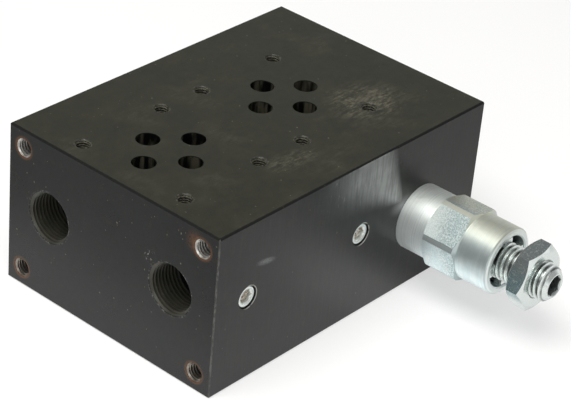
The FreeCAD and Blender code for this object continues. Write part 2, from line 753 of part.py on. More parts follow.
def spring_button():
    """The piston between the spring and the adjusting screw."""
    body = new_body("spring_button")
    rim = radius("spring_bore_diameter") - D["slide_clearance"]
    hub = spring_inside()
    seat = D["button_seat"]
    top = SCREW_FOOT
    low = seat - D["button_pilot_length"]
    groove_low = seat + D["button_groove_start"]
    groove_top = groove_low + D["button_groove_width"]
    ease = D["button_chamfer"]
    revolve(body, "button_turning", [
        (ZERO, low), (hub - ease, low), (hub, low + ease), (hub, seat),
        (rim - ease, seat), (rim, seat + ease), (rim, groove_low),
        (BUTTON_ROOT, groove_low), (BUTTON_ROOT, groove_top), (rim, groove_top),
        (rim, top - ease), (rim - ease, top), (ZERO, top),
    ])
    place_on_cartridge(body)
    return body


def pressure_spring():
    """The coil spring: closed at both ends, with its end faces ground flat."""
    wire = D["spring_wire"].value
    mean = radius("spring_mean_diameter").value
    low = (PLATE_SEAT + D["plate_thickness"]).value
    high = D["button_seat"].value
    coils = D["spring_coils"].value
    closed = D["closed_coils"].value
    lead = high - low
    rise = (lead - wire * closed * 2.0) / (coils - closed * 2.0)
    steps = int(coils * TUBE_POINTS_PER_TURN)
    points = []
    for i in range(steps + 1):
        coil = coils * i / steps
        near = min(coil, closed)
        active = min(max(coil - closed, 0.0), coils - closed * 2.0)
        last = max(coil - (coils - closed), 0.0)
        height = low + wire * near + rise * active + wire * last
        turn = math.radians(FULL_TURN * coil)
        points.append(FreeCAD.Vector(mean * math.cos(turn), mean * math.sin(turn), height))
    curve = Part.BSplineCurve()
    curve.interpolate(points)
    path = Part.Wire([curve.toShape()])
    start = points[0]
    ahead = curve.tangent(curve.FirstParameter)[0]
    section = Part.Wire([Part.makeCircle(wire / 2.0, start, ahead)])
    coil_shape = path.makePipeShell([section], True, True)
    ends = Part.makeCylinder(mean + wire, lead, FreeCAD.Vector(0, 0, low))
    spring = doc.addObject("Part::Feature", "pressure_spring")
    spring.Label = "pressure_spring"
    spring.Shape = coil_shape.common(ends)
    place_on_cartridge(spring)
    return spring


def slotted_bush():
    """The threaded bush in the sleeve's mouth, with four wide spanner slots."""
    body = new_body("slotted_bush")
    outer = radius("bush_bore_diameter") - D["thread_clearance"]
    core = SCREW_ROOT + D["thread_clearance"]
    mouth = SCREW_CREST + D["bush_mouth_room"]
    low = D["bush_seat"]
    top = D["sleeve_end"] - D["bush_recess"]
    floor = top - D["bush_slot_depth"]
    ease = D["plug_chamfer"]
    revolve(body, "bush_turning", [
        (core, low), (outer - ease, low), (outer, low + ease), (outer, top - ease),
        (outer - ease, top), (mouth, top), (mouth, floor), (core + ease, floor),
        (core, floor - ease),
    ])
    slot = new_sketch(body, "bush_slot_outline", "XY_Plane", top, D["bush_angle"])
    side = radius("bush_tooth_width")
    beyond = D["bush_bore_diameter"]
    draw_outline(slot, [(side, side), (beyond, side), (beyond, beyond), (side, beyond)])
    first = pocket(body, "bush_slot", slot, D["bush_slot_depth"])
    polar(body, first, "bush_slots", D["bush_slot_count"])
    place_on_cartridge(body)
    return body


def adjusting_screw():
    """The adjusting screw, at the root of its thread, with a key socket."""
    body = new_body("adjusting_screw")
    core = SCREW_ROOT
    dog = radius("screw_dog_diameter")
    low = SCREW_FOOT
    dog_top = low + D["screw_dog_length"]
    top = low + D["screw_length"]
    ease = D["screw_dog_chamfer"]
    point = D["screw_chamfer"]
    revolve(body, "screw_turning", [
        (ZERO, low), (dog - ease, low), (dog, low + ease), (dog, dog_top - ease),
        (core, dog_top), (core, top - point), (core - point, top), (ZERO, top),
    ])
    cut_socket(body, "screw_socket", top, D["screw_socket_flats"],
               D["screw_socket_depth"], D["screw_socket_lead"], D["screw_socket_angle"])
    place_on_cartridge(body)
    return body


def cut_socket(body, name, face, flats, depth, lead, turn=None):
    """A hexagon key socket with a small mouth chamfer and a pointed floor."""
    sketch = new_sketch(body, name + "_outline", "XY_Plane", face, turn)
    draw_outline(sketch, hexagon_points(flats))
    pocket(body, name, sketch, depth)
    mouth = flats / math.sqrt(3.0) + lead / 2.0
    floor = flats / 2.0
    slope = (D["drill_point"] / 2.0).tangent()
    groove(body, name + "_mouth", [(ZERO, face), (mouth, face), (ZERO, face - mouth)])
    groove(body, name + "_point", [
        (ZERO, face - depth), (floor, face - depth), (ZERO, face - depth - floor / slope),
    ])


def lock_nut():
    """The thin hexagon nut on the adjusting screw."""
    body = new_body("lock_nut")
    core = SCREW_ROOT + D["thread_clearance"]
    flat = radius("nut_flats")
    start = D["sleeve_end"] + D["nut_stand"]
    end = start + D["nut_thickness"]
    outline = new_sketch(body, "nut_outline", "XY_Plane", start, D["nut_angle"])
    draw_outline(outline, hexagon_points(D["nut_flats"]))
    draw_circles(outline, [(ZERO, ZERO)], core)
    pad(body, "nut_blank", outline, D["nut_thickness"])
    trim_hexagon(body, "nut_chamfers", D["nut_flats"], D["nut_flats"] / math.sqrt(3.0),
                 flat - D["nut_face_step"], start, end)
    mouth = SCREW_CREST + D["nut_countersink"]
    for name, level, way in (("nut_mouth", end, -1.0), ("nut_back", start, 1.0)):
        groove(body, name, [
            (ZERO, level), (mouth, level), (core, level + (mouth - core) * way),
            (ZERO, level + (mouth - core) * way),
        ])
    place_on_cartridge(body)
    return body


def seal_ring(name, centre, station, wire):
    """A round seal about the cartridge axis."""
    body = new_body(name)
    sketch = new_sketch(body, name + "_section", "XZ_Plane")
    draw_circles(sketch, [(centre, station)], wire / 2.0)
    feature = body.newObject("PartDesign::Revolution", name + "_turning")
    feature.Profile = sketch
    feature.ReferenceAxis = (sketch, [VERTICAL])
    feature.Angle = FULL_TURN
    closed_volume(body)
    place_on_cartridge(body)
    return body


def shoulder_seal():
    """The seal under the collar, in the cavity's conical mouth."""
    wire = D["shoulder_seal_wire"]
    centre = neck_radius() + wire / 2.0 + D["seal_clearance"]
    return seal_ring("shoulder_seal", centre, -D["shoulder_seal_depth"], wire)


def nose_seals():
    """The nose seal between its two backup rings."""
    wire = D["nose_seal_wire"]
    middle = (RINGS_LOW + RINGS_TOP) / 2.0
    inner = RINGS_ROOT + D["seal_clearance"]
    bore = radius("cavity_nose_diameter") - D["seal_clearance"]
    rings = [seal_ring("nose_seal", inner + wire / 2.0, middle, wire)]
    for name, way in (("nose_backup_outer", 1.0), ("nose_backup_inner", -1.0)):
        body = new_body(name)
        near = middle + (wire / 2.0 + D["ring_gap"]) * way
        far = near + D["backup_width"] * way
        revolve(body, name + "_turning",
                [(inner, near), (bore, near), (bore, far), (inner, far)])
        place_on_cartridge(body)
        rings.append(body)
    return rings


def button_seal():
    """The seal in the groove of the spring button."""
    wire = D["button_seal_wire"]
    centre = BUTTON_ROOT + wire / 2.0 + D["seal_clearance"]
    station = D["button_seat"] + D["button_groove_start"] + D["button_groove_width"] / 2.0
    return seal_ring("button_seal", centre, station, wire)


# The plugs of the cross drillings

def plug(name, x, side):
    """A headless plug; side is -1 on the cartridge side of the block and 1 behind."""
    body = new_body(name)
    outer = radius("plug_bore_diameter") - D["thread_clearance"]
    top = -D["plug_recess"]
    low = top - D["plug_length"]
    ease = D["plug_chamfer"]
    revolve(body, name + "_turning", [
        (ZERO, low), (outer - ease, low), (outer, low + ease), (outer, top - ease),
        (outer - ease, top), (ZERO, top),
    ])
    cut_socket(body, name + "_socket", top, D["plug_socket_flats"],
               D["plug_socket_depth"], D["plug_socket_lead"])
    body.Placement = FreeCAD.Placement(
        FreeCAD.Vector(0, 0, 0),
        FreeCAD.Rotation(FreeCAD.Vector(1, 0, 0), -RIGHT_ANGLE * side))
    bind(body, ".Placement.Base.x", x)
    bind(body, ".Placement.Base.y", HALF_WIDTH * side)
    bind(body, ".Placement.Base.z", D["gallery_height"])
    return body


def plugs():
    front, back = side_plug_places()
    made = [plug("front_plug_%d" % (i + 1), x, -1.0) for i, x in enumerate(front)]
    made += [plug("back_plug_%d" % (i + 1), x, 1.0) for i, x in enumerate(back)]
    return made


def check_document(pieces):
    """Stop before anything is written if a feature or a piece has failed."""
    doc.recompute()
    for thing in doc.Objects:
        if "Invalid" in thing.State or "Error" in thing.State:
            raise RuntimeError("%s is in state %s" % (thing.Label, thing.State))
    for piece in pieces:
        shape = piece.Shape
        if shape.isNull() or not shape.isValid() or len(shape.Solids) != 1:
            raise RuntimeError("%s is not one valid solid" % piece.Label)


def main():
    pieces = [
        manifold_block(), cartridge_body(), valve_seat(), poppet(), spring_plate(),
        pressure_spring(), spring_button(), button_seal(), slotted_bush(),
        adjusting_screw(), lock_nut(), shoulder_seal(),
    ]
    pieces += nose_seals()
    pieces += plugs()
    check_document(pieces)
    os.makedirs("parts", exist_ok=True)
    for piece in pieces:
        piece.Shape.exportStep("parts/%s.step" % piece.Label)
        box = piece.Shape.BoundBox
        print("%-20s volume %10.2f  x %7.2f %7.2f  y %7.2f %7.2f  z %7.2f %7.2f" % (
            piece.Label, piece.Shape.Volume, box.XMin, box.XMax, box.YMin, box.YMax,
            box.ZMin, box.ZMax))


main()
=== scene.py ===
"""Looks of the pressure relief valve plate: threads, finishes, floor, lamps and camera."""

import json
import math

import bpy
from bpy.props import FloatProperty, FloatVectorProperty, IntProperty, PointerProperty
from mathutils import Euler, Matrix, Vector


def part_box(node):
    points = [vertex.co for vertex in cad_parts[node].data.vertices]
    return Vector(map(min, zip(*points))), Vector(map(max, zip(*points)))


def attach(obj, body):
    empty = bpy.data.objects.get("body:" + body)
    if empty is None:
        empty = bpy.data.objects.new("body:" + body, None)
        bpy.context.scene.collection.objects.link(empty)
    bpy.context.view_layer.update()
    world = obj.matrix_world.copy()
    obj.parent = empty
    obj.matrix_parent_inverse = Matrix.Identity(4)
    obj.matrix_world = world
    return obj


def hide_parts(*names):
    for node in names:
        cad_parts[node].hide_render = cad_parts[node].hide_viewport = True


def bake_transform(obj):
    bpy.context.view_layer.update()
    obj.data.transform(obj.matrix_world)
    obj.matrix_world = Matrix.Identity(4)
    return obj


bl_info = {
    "name": "Pressure relief valve plate",
    "version": (1, 0, 0),
    "blender": (4, 5, 0),
    "location": "3D View > Sidebar > Valve plate",
    "description": "Threads, spring, finishes and stage of a drilled valve plate",
    "category": "Add Mesh",
}

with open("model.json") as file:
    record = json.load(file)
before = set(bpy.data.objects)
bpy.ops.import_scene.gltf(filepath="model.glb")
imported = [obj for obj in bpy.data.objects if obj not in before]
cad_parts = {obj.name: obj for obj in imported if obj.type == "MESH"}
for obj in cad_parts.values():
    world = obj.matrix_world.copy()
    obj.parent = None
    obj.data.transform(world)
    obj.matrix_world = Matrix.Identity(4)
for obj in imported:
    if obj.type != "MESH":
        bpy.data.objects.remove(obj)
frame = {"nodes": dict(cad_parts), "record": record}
MOUNTS = {mount["name"]: mount for mount in frame["record"]["mounts"]}
MM = 0.001  # Blender works in metres, the finishes in millimetres


def in_mm(place):
    """A place in metres, given in millimetres."""
    return [side / MM for side in place]


# Places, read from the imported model
BLOCK_LOW, BLOCK_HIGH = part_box("manifold_block")
BODY_LOW, BODY_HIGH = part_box("cartridge_body")
SCREW_LOW, SCREW_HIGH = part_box("adjusting_screw")
PLUG_LOW, PLUG_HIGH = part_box("front_plug_1")
CARTRIDGE_AXIS = (BODY_LOW + BODY_HIGH) / 2.0
SCREW_CREST = 6.0 * MM

# The same in millimetres, for the finishes; ends are measured from the cartridge's side
LOW, HIGH = in_mm(BLOCK_LOW), in_mm(BLOCK_HIGH)
AXIS = in_mm(CARTRIDGE_AXIS)
PLUG_RADIUS = (PLUG_HIGH.x - PLUG_LOW.x) / MM / 2.0
HEXAGON_START, HEXAGON_END = 10.1, 23.0
SLEEVE_END, SCREW_END = LOW[1] - BODY_LOW.y / MM, LOW[1] - SCREW_LOW.y / MM

# Widths across the flats, and the way that one flat faces, in degrees
BODY_WRENCH, BODY_TURN = 22.0, 77.5
NUT_WRENCH, NUT_TURN = 19.0, 97.0

# The way that each plug faces along Y
PLUGS = {"front_plug_1": -1.0, "front_plug_2": -1.0, "back_plug_1": 1.0, "back_plug_2": 1.0}

FULL_TURN = math.tau
RIGHT_ANGLE = math.pi / 2.0
BLACK = (0.0, 0.0, 0.0)
WHITE = (1.0, 1.0, 1.0, 1.0)
SMOOTH_BELOW, SMOOTH_GREASE = math.radians(32.0), math.radians(40.0)
SLIVER = 0.02 * MM  # a small overlap or clearance between two pieces
WELD = 0.001 * MM  # points closer than this become one
WIRE_SIDES = 20
INNER_RIDGE = (0.875, 0.25)  # widths of a thread's ridge at its foot and crest, per pitch
OUTER_RIDGE = (0.82, 0.1)


# Sizes and colours that a user would change

def length(words, about, value):
    """A length in metres, shown in the scene's units."""
    return FloatProperty(name=words, description=about, default=value, precision=5,
                         unit="LENGTH", min=0.0)


def tint(words, about, value):
    """A colour, held as linear red, green and blue."""
    return FloatVectorProperty(name=words, description=about, default=value, size=3,
                               subtype="COLOR", min=0.0, max=1.0)


class ValvePlateThreads(bpy.types.PropertyGroup):
    """Sizes of the threads, the grease and the coils of the pressure spring."""

    port_pitch: length("Port pitch", "Pitch of the G3/8 threads", 0.001337)
    port_height: length("Port thread height", "Crest to root of the G3/8 threads", 0.000856)
    corner_pitch: length("Corner pitch", "Pitch of the M6 threads", 0.001)
    corner_height: length("Corner thread height", "Crest to root of the M6 threads", 0.00054)
    bolt_pitch: length("Bolt pitch", "Pitch of the M5 threads", 0.0008)
    bolt_height: length("Bolt thread height", "Crest to root of the M5 threads", 0.00043)
    corner_depth: length("Corner depth", "Depth of the M6 threads", 0.012)
    bolt_depth: length("Bolt depth", "Depth of the M5 threads", 0.011)
    mouth: length("Mouths", "Chamfer at the mouth of every threaded hole", 0.00015)
    screw_pitch: length("Screw pitch", "Pitch of the M12 thread", 0.00175)
    screw_crest: length("Screw radius", "Radius of the M12 thread's crests", SCREW_CREST)
    screw_core: length("Screw core radius", "Radius of the M12 thread's roots", 0.00505)
    screw_plain_end: length("Plain end", "Length of the screw's plain end", 0.006)
    screw_chamfer: length("Screw chamfer", "From the crests down to the screw's end",
                          0.00195)
    socket_flats: length("Plug socket", "Width across the flats of a plug's socket", 0.004)
    grease_depth: length("Grease depth", "From a plug's face down to the grease", 0.0011)
    spring_wire: length("Spring wire", "Diameter of the pressure spring's wire", 0.0022)
    spring_coils: FloatProperty(name="Spring coils", default=5.2, min=3.0,
                                description="All coils, of which one is closed at each end")
    spring_split: FloatProperty(name="Spring split", default=1.84, min=1.0,
                                description="Coils that follow the poppet's spring plate")
    facets: IntProperty(name="Facets", description="Sides of one turn of a thread",
                        default=48, min=16, max=128)


class ValvePlateFinishes(bpy.types.PropertyGroup):
    """Colours of the finishes."""

    oxide_top: tint("Oxide, top", "Black oxide on the valve face", (0.023, 0.0235, 0.0145))
    oxide_side: tint("Oxide, sides", "Black oxide on the sides", (0.012, 0.0145, 0.0135))
    # Also the pale streaks of painted light on the hole walls.
    rubbed: tint("Rubbed oxide", "Oxide where something has rubbed it", (0.145, 0.135, 0.095))
    # A pale smear on the block's side, and the painted reflection of the collar beside the
    # cartridge.
    smear_and_reflection: tint("Brushed oxide", "Strokes beside the cartridge", (0.32, 0.335, 0.33))
    # Also the painted glint right of each plug.
    bare_steel_and_glint: tint("Bare steel", "Steel where the oxide is gone", (0.52, 0.51, 0.48))
    rust: tint("Rust", "Staining at the corner holes", (0.15, 0.065, 0.028))
    zinc: tint("Zinc", "Bright zinc plating", (0.83, 0.89, 0.87))
    # Also painted highlights, on the collar towards the block and on the sleeve's rim.
    bright_zinc_and_highlight: tint("Zinc, bright", "Zinc on the turned collar", (0.95, 1.0, 0.985))
    zinc_blue: tint("Zinc, blue", "Blue tinge of the plating", (0.60, 0.77, 0.84))
    zinc_olive: tint("Zinc, olive", "Oily tinge on top of the cartridge", (0.66, 0.66, 0.53))
    # Also painted shade on the hexagon's corner bands and on the sleeve's upper side.
    dull_zinc_and_shade: tint("Zinc, dull", "Zinc where it is handled or dull", (0.40, 0.47, 0.47))
    # Painted dark reflection on the nut's upper flats, and real specks on the hexagon.
    dark_reflection_and_specks: tint("Tarnish", "Blue on the nut, specks on the body", (0.12, 0.25, 0.28))
    # Painted brown reflection on the nut's top flats.
    nut_top_reflection: tint("Nut, brown", "Brown tinge on the nut's upper flats", (0.42, 0.38, 0.35))
    edge_lip: tint("Edge lip", "Dark lips along the valve face", (0.002, 0.002, 0.002))
    thread_oil: tint("Thread oil", "Oil in the screw's roots and socket", (0.02, 0.024, 0.02))
    # Painted shade in the slots and bore of the bush.
    slot_shade: tint("Slot oil", "Oil in the slots of the bush", (0.03, 0.035, 0.032))
    plug_rim: tint("Plug rim", "Dark ring at the rim of a plug", (0.02, 0.02, 0.018))
    old_thread: tint("Old thread", "Steel of the lower corner threads", (0.19, 0.17, 0.14))
    dirt: tint("Dirt", "Oil and dirt in sockets and thread roots", (0.07, 0.055, 0.04))
    dried_grease: tint("Dried grease", "What fills the plugs' sockets", (0.46, 0.42, 0.34))
    rusty_grit: tint("Rusty grit", "Rusty lumps in the grease", (0.36, 0.20, 0.10))
    pale_grit: tint("Pale grit", "Pale specks in the grease", (0.8, 0.8, 0.76))
    hard_steel: tint("Hardened steel", "Ground working parts", (0.42, 0.42, 0.43))
    spring_steel: tint("Spring steel", "Oiled spring wire", (0.16, 0.155, 0.145))
    rubber: tint("Rubber", "Seals", (0.012, 0.012, 0.013))
    plastic: tint("Plastic", "Backup rings", (0.78, 0.76, 0.70))


class ValvePlateStage(bpy.types.PropertyGroup):
    """Camera, lamps and floor."""

    lens: FloatProperty(name="Focal length", description="Camera lens in millimetres",
                        default=137.18, min=20.0, max=300.0)
    camera_place: FloatVectorProperty(
        name="Camera", description="Place of the camera", size=3, subtype="TRANSLATION",
        default=(-0.43833, -0.36992, 0.37443))
    camera_down: FloatProperty(name="Camera down", description="Angle below the horizon",
                               subtype="ANGLE", default=math.radians(31.457))
    camera_turn: FloatProperty(name="Camera turn", description="Angle from +Y towards +X",
                               subtype="ANGLE", default=math.radians(51.042))
    camera_roll: FloatProperty(name="Camera roll", description="Turn about the view",
                               subtype="ANGLE", default=math.radians(5.322))
    soft_power: FloatProperty(name="Soft lamp", description="Wide lamp overhead, in watts",
                              default=1.5, min=0.0)
    key_power: FloatProperty(name="Key lamp", min=0.0, default=7.2,
                             description="Smaller lamp overhead on the left, in watts")
    fill_power: FloatProperty(name="Fill lamp", description="Lamp beside the camera, in watts",
                              default=1.6, min=0.0)
    room_light: FloatProperty(name="Room light", description="Light from all round",
                              default=0.35, min=0.0, max=2.0)
    floor_tone: tint("Floor colour", "Grey of the floor where it is lit", (0.5, 0.5, 0.5))
    floor_size: FloatProperty(name="Floor", description="Side of the floor", default=6.0,
                              unit="LENGTH", min=1.0)


# Shader maths

class Amount:
    """A number that varies over a surface, so that shader maths reads as plain maths."""

    def __init__(self, finish, socket):
        self.finish = finish
        self.socket = socket

    def __add__(self, other):
        return self.finish.maths("ADD", self, other)

    def __sub__(self, other):
        return self.finish.maths("SUBTRACT", self, other)

    def __rsub__(self, other):
        return self.finish.maths("SUBTRACT", other, self)

    def __mul__(self, other):
        return self.finish.maths("MULTIPLY", self, other)

    def __truediv__(self, other):
        return self.finish.maths("DIVIDE", self, other)

    def __abs__(self):
        return self.finish.maths("ABSOLUTE", self)

    __radd__ = __add__
    __rmul__ = __mul__

    def over(self, limit, soft):
        """0 well below the limit and 1 well above it, with a soft step between."""
        return self.finish.node(
            "ShaderNodeMapRange", {"interpolation_type": "SMOOTHSTEP"},
            {"Value": self, "From Min": limit - soft, "From Max": limit + soft})

    def under(self, limit, soft):
        return 1.0 - self.over(limit, soft)

    def between(self, low, low_soft, high, high_soft):
        """1 between two limits, each with a soft step of its own."""
        return self.over(low, low_soft) * self.under(high, high_soft)


class Finish:
    """A shader node tree under construction."""

    def __init__(self, owner):
        owner.use_nodes = True
        self.tree = owner.node_tree
        self.tree.nodes.clear()

    def node(self, kind, settings=None, sockets=None, output=0):
        """Add a node: its settings, and the values or links of its sockets."""
        made = self.tree.nodes.new(kind)
        for name, value in (settings or {}).items():
            setattr(made, name, value)
        for name, value in (sockets or {}).items():
            if isinstance(value, Amount):
                self.tree.links.new(value.socket, made.inputs[name])
            else:
                made.inputs[name].default_value = value
        return Amount(self, made.outputs[output]) if made.outputs else None

    def several(self, kind, wanted, sockets=None):
        """Add a node of which several outputs are wanted."""
        made = self.node(kind, None, sockets).socket.node
        return [Amount(self, made.outputs[name]) for name in wanted]

    def maths(self, operation, *values):
        return self.node("ShaderNodeMath", {"operation": operation}, dict(enumerate(values)))

    def least(self, first, second):
        return self.maths("MINIMUM", first, second)

    def most(self, first, second):
        return self.maths("MAXIMUM", first, second)

    def distance(self, first, second):
        """Length of a diagonal from its two sides."""
        return self.maths("SQRT", first * first + second * second)

    def ellipse(self, first, second, centre, sides):
        """0 at the centre of an ellipse and 1 on its edge."""
        return self.distance((first - centre[0]) / sides[0], (second - centre[1]) / sides[1])

    def blend(self, share, first, second):
        """Mix two colours."""
        return self.node("ShaderNodeMix", {"data_type": "RGBA"},
                         {0: share, 6: colour(first), 7: colour(second)}, output=2)


class SolidFinish(Finish):
    """A finish whose patterns lie in the object's own space, in millimetres."""

    def __init__(self, name):
        self.material = bpy.data.materials.new(name)
        super().__init__(self.material)
        place = self.node("ShaderNodeTexCoord", output="Object")
        self.point = self.node("ShaderNodeMapping", None,
                               {"Vector": place, "Scale": (1.0 / MM,) * 3})
        self.x, self.y, self.z = self.several("ShaderNodeSeparateXYZ", "XYZ",
                                              {"Vector": self.point})

    def noise(self, size, stretch=(1.0, 1.0, 1.0), detail=3.0, rough=0.5, shift=0.0):
        """Noise from 0 to 1, with blots of about the given size in millimetres."""
        spot = self.node("ShaderNodeMapping", None, {
            "Vector": self.point, "Location": (shift, shift, shift),
            "Scale": tuple(1.0 / side for side in stretch)})
        return self.node("ShaderNodeTexNoise", None, {
            "Vector": spot, "Scale": 1.0 / size, "Detail": detail, "Roughness": rough})

    def paint(self, share, tone):
        """Lay a tone over the base colour so far, where the share is 1."""
        self.base = self.blend(share, self.base, tone)

    def bump(self, height, depth, strength=1.0):
        """Small relief, its full height given in millimetres."""
        return self.node("ShaderNodeBump", None, {
            "Height": height, "Distance": depth * MM, "Strength": strength})

    def surface(self, roughness, metallic, normal=None, **same_all_over):
        """Finish the material with one surface shader."""
        sockets = {"Base Color": self.base, "Roughness": roughness, "Metallic": metallic}
        if normal is not None:
            sockets["Normal"] = normal
        for name, value in same_all_over.items():
            sockets[name.replace("_", " ")] = value
        shader = self.node("ShaderNodeBsdfPrincipled", None, sockets)
        return self.finished(shader)

    def finished(self, shader):
        self.node("ShaderNodeOutputMaterial", None, {"Surface": shader})
        return self.material


class CartridgeFinish(SolidFinish):
    """A finish laid out from the cartridge's axis and from the block's face."""

    def __init__(self, name):
        super().__init__(name)
        self.across, self.up = self.x - AXIS[0], self.z - AXIS[2]
        self.reach = self.distance(self.across, self.up)
        self.out = LOW[1] - self.y

    def on_flats(self, wrench, first):
        """1 on the flats of a hexagon, of which the first faces the given angle."""
        furthest = None
        for i in range(3):
            angle = math.radians(first + i * 60.0)
            gap = abs(self.across * math.cos(angle) + self.up * math.sin(angle))
            furthest = gap if furthest is None else self.most(furthest, gap)
        return (furthest - wrench / 2.0).over(-0.02, 0.012)


def colour(value):
    """Four numbers for a colour socket, or the link that is given."""
    return value if isinstance(value, Amount) else (*value[:3], 1.0)


# Finishes

def block_finish(looks):
    """Black oxide with rubbed patches, nicks, bare holes and rust stains."""
    f = SolidFinish("black_oxide")
    top = f.z.over(HIGH[2] - 0.1, 0.05)
    side = f.y.under(LOW[1] + 0.1, 0.05)
    end = f.x.under(LOW[0] + 0.1, 0.05)
    cloud = f.noise(13.0, detail=4.0)
    grain = f.noise(0.5, detail=3.0, rough=0.6)
    upright = f.noise(0.55, stretch=(1.0, 1.0, 26.0), detail=4.0, rough=0.65)

    f.base = f.blend(top, looks.oxide_side, looks.oxide_top)
    patchy = f.noise(2.6, detail=3.0, rough=0.6, shift=83.0)
    tone = 0.70 + 0.34 * cloud + 0.8 * (grain - 0.5) + 0.7 * (patchy - 0.5)
    f.base = f.blend(tone, BLACK, f.base)
    f.paint(upright.over(0.58, 0.14) * side * 0.07, looks.rubbed)
    scuffs = rubbed_patches(f, looks, cloud, top)
    nicks_and_smear(f, looks, grain, side, end)
    lip = worn_edges(f, looks)
    bare = corner_hole_wear(f, looks, end)
    bare = f.most(bare, bolt_hole_wear(f))
    bare = f.most(bare, port_mouth_wear(f, end))
    # Painted highlight beside each plug
    plug_bore_glint(f, looks, side)
    # Painted reflection of the collar, with painted glow and painted shade
    painted_collar_reflection(f, looks, side)
    # Painted light in the valve face's holes: pale upright streaks on the upper walls, over a
    # darker tone, fading downwards.
    walls = hole_walls(f)
    streaks = f.noise(2.2, stretch=(1.0, 1.0, 8.0), detail=3.0, shift=91.0).over(0.55, 0.1)
    f.paint(walls * 0.85, BLACK)
    f.paint(walls * streaks * 0.3, looks.rubbed)
    f.paint(bare, looks.bare_steel_and_glint)

    rough = 0.30 + 0.10 * (grain - 0.5) + 0.14 * (cloud - 0.5) + 0.08 * top
    rough = rough + 0.14 * scuffs + 0.45 * lip + 0.08 * upright * side
    relief = 0.45 * grain + 0.5 * upright * f.most(side, end * 0.5)
    return f.surface(rough, bare * 0.9, f.bump(relief, 0.016, 0.4), IOR=1.33)


def rubbed_patches(f, looks, cloud, top):
    """Olive scuffs on the valve face, where something has lain on it."""
    streaks = f.noise(1.4, stretch=(2.8, 1.0, 1.0), detail=5.0, rough=0.72, shift=11.0)
    fine = f.noise(0.7, stretch=(1.0, 2.2, 1.0), detail=4.0, rough=0.7, shift=31.0)
    marks = streaks.over(0.53, 0.13) * (0.45 + 0.55 * fine.over(0.48, 0.14)) * top
    far_patch = f.ellipse(f.x, f.y, (31.0, -18.0), (15.5, 12.5)).under(0.72, 0.42)
    hot_spot = f.ellipse(f.x, f.y, (36.0, -24.0), (7.0, 6.0)).under(0.7, 0.5)
    near_patch = f.ellipse(f.x, f.y, (-13.0, -26.5), (10.0, 4.6)).under(0.75, 0.5)
    scuffs = marks * f.most(far_patch, near_patch * 0.8)
    f.paint(scuffs * (0.75 + 0.25 * hot_spot), looks.rubbed)
    f.paint(marks * cloud.over(0.6, 0.1) * 0.14, looks.rubbed)
    return scuffs


def nicks_and_smear(f, looks, grain, side, end):
    """Tiny light nicks all over, more of them under the top edge, and one pale smear."""
    spots = f.noise(0.85, stretch=(1.0, 1.0, 1.6), detail=1.0, shift=29.0)
    crowd = f.noise(9.0, detail=1.0, shift=17.0)
    f.paint((spots + 0.08 * crowd).over(0.825, 0.02), looks.rubbed)
    upper = f.z.over(42.0, 5.0) * f.x.between(-12.0, 4.0, 18.0, 5.0) * side
    chips = f.noise(0.8, stretch=(1.0, 1.0, 3.4), detail=2.0, shift=41.0)
    f.paint(chips.over(0.69, 0.05) * upper * 0.45, looks.dull_zinc_and_shade)
    smear = f.ellipse(f.x, f.z + 0.16 * f.x, (-39.5, 32.0), (4.0, 1.2))
    smear = smear.under(0.75, 0.5) * side
    f.paint(smear * grain.over(0.4, 0.25) * 0.5, looks.smear_and_reflection)
    brown = f.noise(2.4, detail=3.0, shift=53.0).over(0.62, 0.08) * f.most(side, end)
    f.paint(brown * 0.05, looks.rust)


def painted_collar_reflection(f, looks, side):
    """Painted reflection of the collar: pale upright streaks that fan out from it up to the
    valve face, with a painted glow beside the collar and painted shade above it.
    """
    left, up = AXIS[0] - 8.2 - f.x, f.z - AXIS[2] - 7.5
    lean = up / f.most(left, 0.5)
    fan = lean.between(0.50, 0.30, 2.3, 1.3) * left.over(2.0, 2.6) * side
    away = f.distance(left, up)
    reflection_streaks = f.noise(0.9, stretch=(1.0, 1.0, 12.0), detail=4.0, rough=0.6, shift=67.0)
    blots = f.noise(5.0, detail=2.0, shift=71.0)
    share = fan * away.under(34.0, 16.0) * (0.6 + 0.4 * reflection_streaks.over(0.46, 0.16))
    share = share * (0.62 + 0.8 * blots)
    # Painted glow on the side, at the collar's upper left
    glow = f.distance(left - 1.0, up * 1.6).under(1.8, 5.0) * side
    # Painted shade on the side, above the collar and right of the fan
    painted_shade = f.ellipse(left, up, (-2.5, 9.0), (9.0, 7.0)).under(0.6, 0.5) * (1.0 - fan)
    f.paint(painted_shade * side * 0.8, BLACK)
    f.paint(f.most(share, glow), looks.smear_and_reflection)


def worn_edges(f, looks):
    """Dark lips along the valve face, and a thin worn line up the near corner."""
    ragged = 0.35 * f.noise(1.2, detail=3.0, shift=73.0)
    lip = f.most((f.x + ragged).under(LOW[0] + 0.95, 0.15),
                 (f.y + ragged).under(LOW[1] + 0.95, 0.15))
    lip = lip * f.z.over(HIGH[2] - 0.45, 0.08)
    f.paint(lip * 0.85, looks.edge_lip)
    corner = f.x.under(LOW[0] + 0.41, 0.03) * f.y.under(LOW[1] + 0.41, 0.03)
    chips = f.noise(0.9, stretch=(1.0, 1.0, 2.2), detail=4.0, rough=0.7)
    worn = corner * (0.45 + 0.55 * chips.over(0.52, 0.1))
    f.paint(worn * 0.22, looks.bare_steel_and_glint)
    return lip


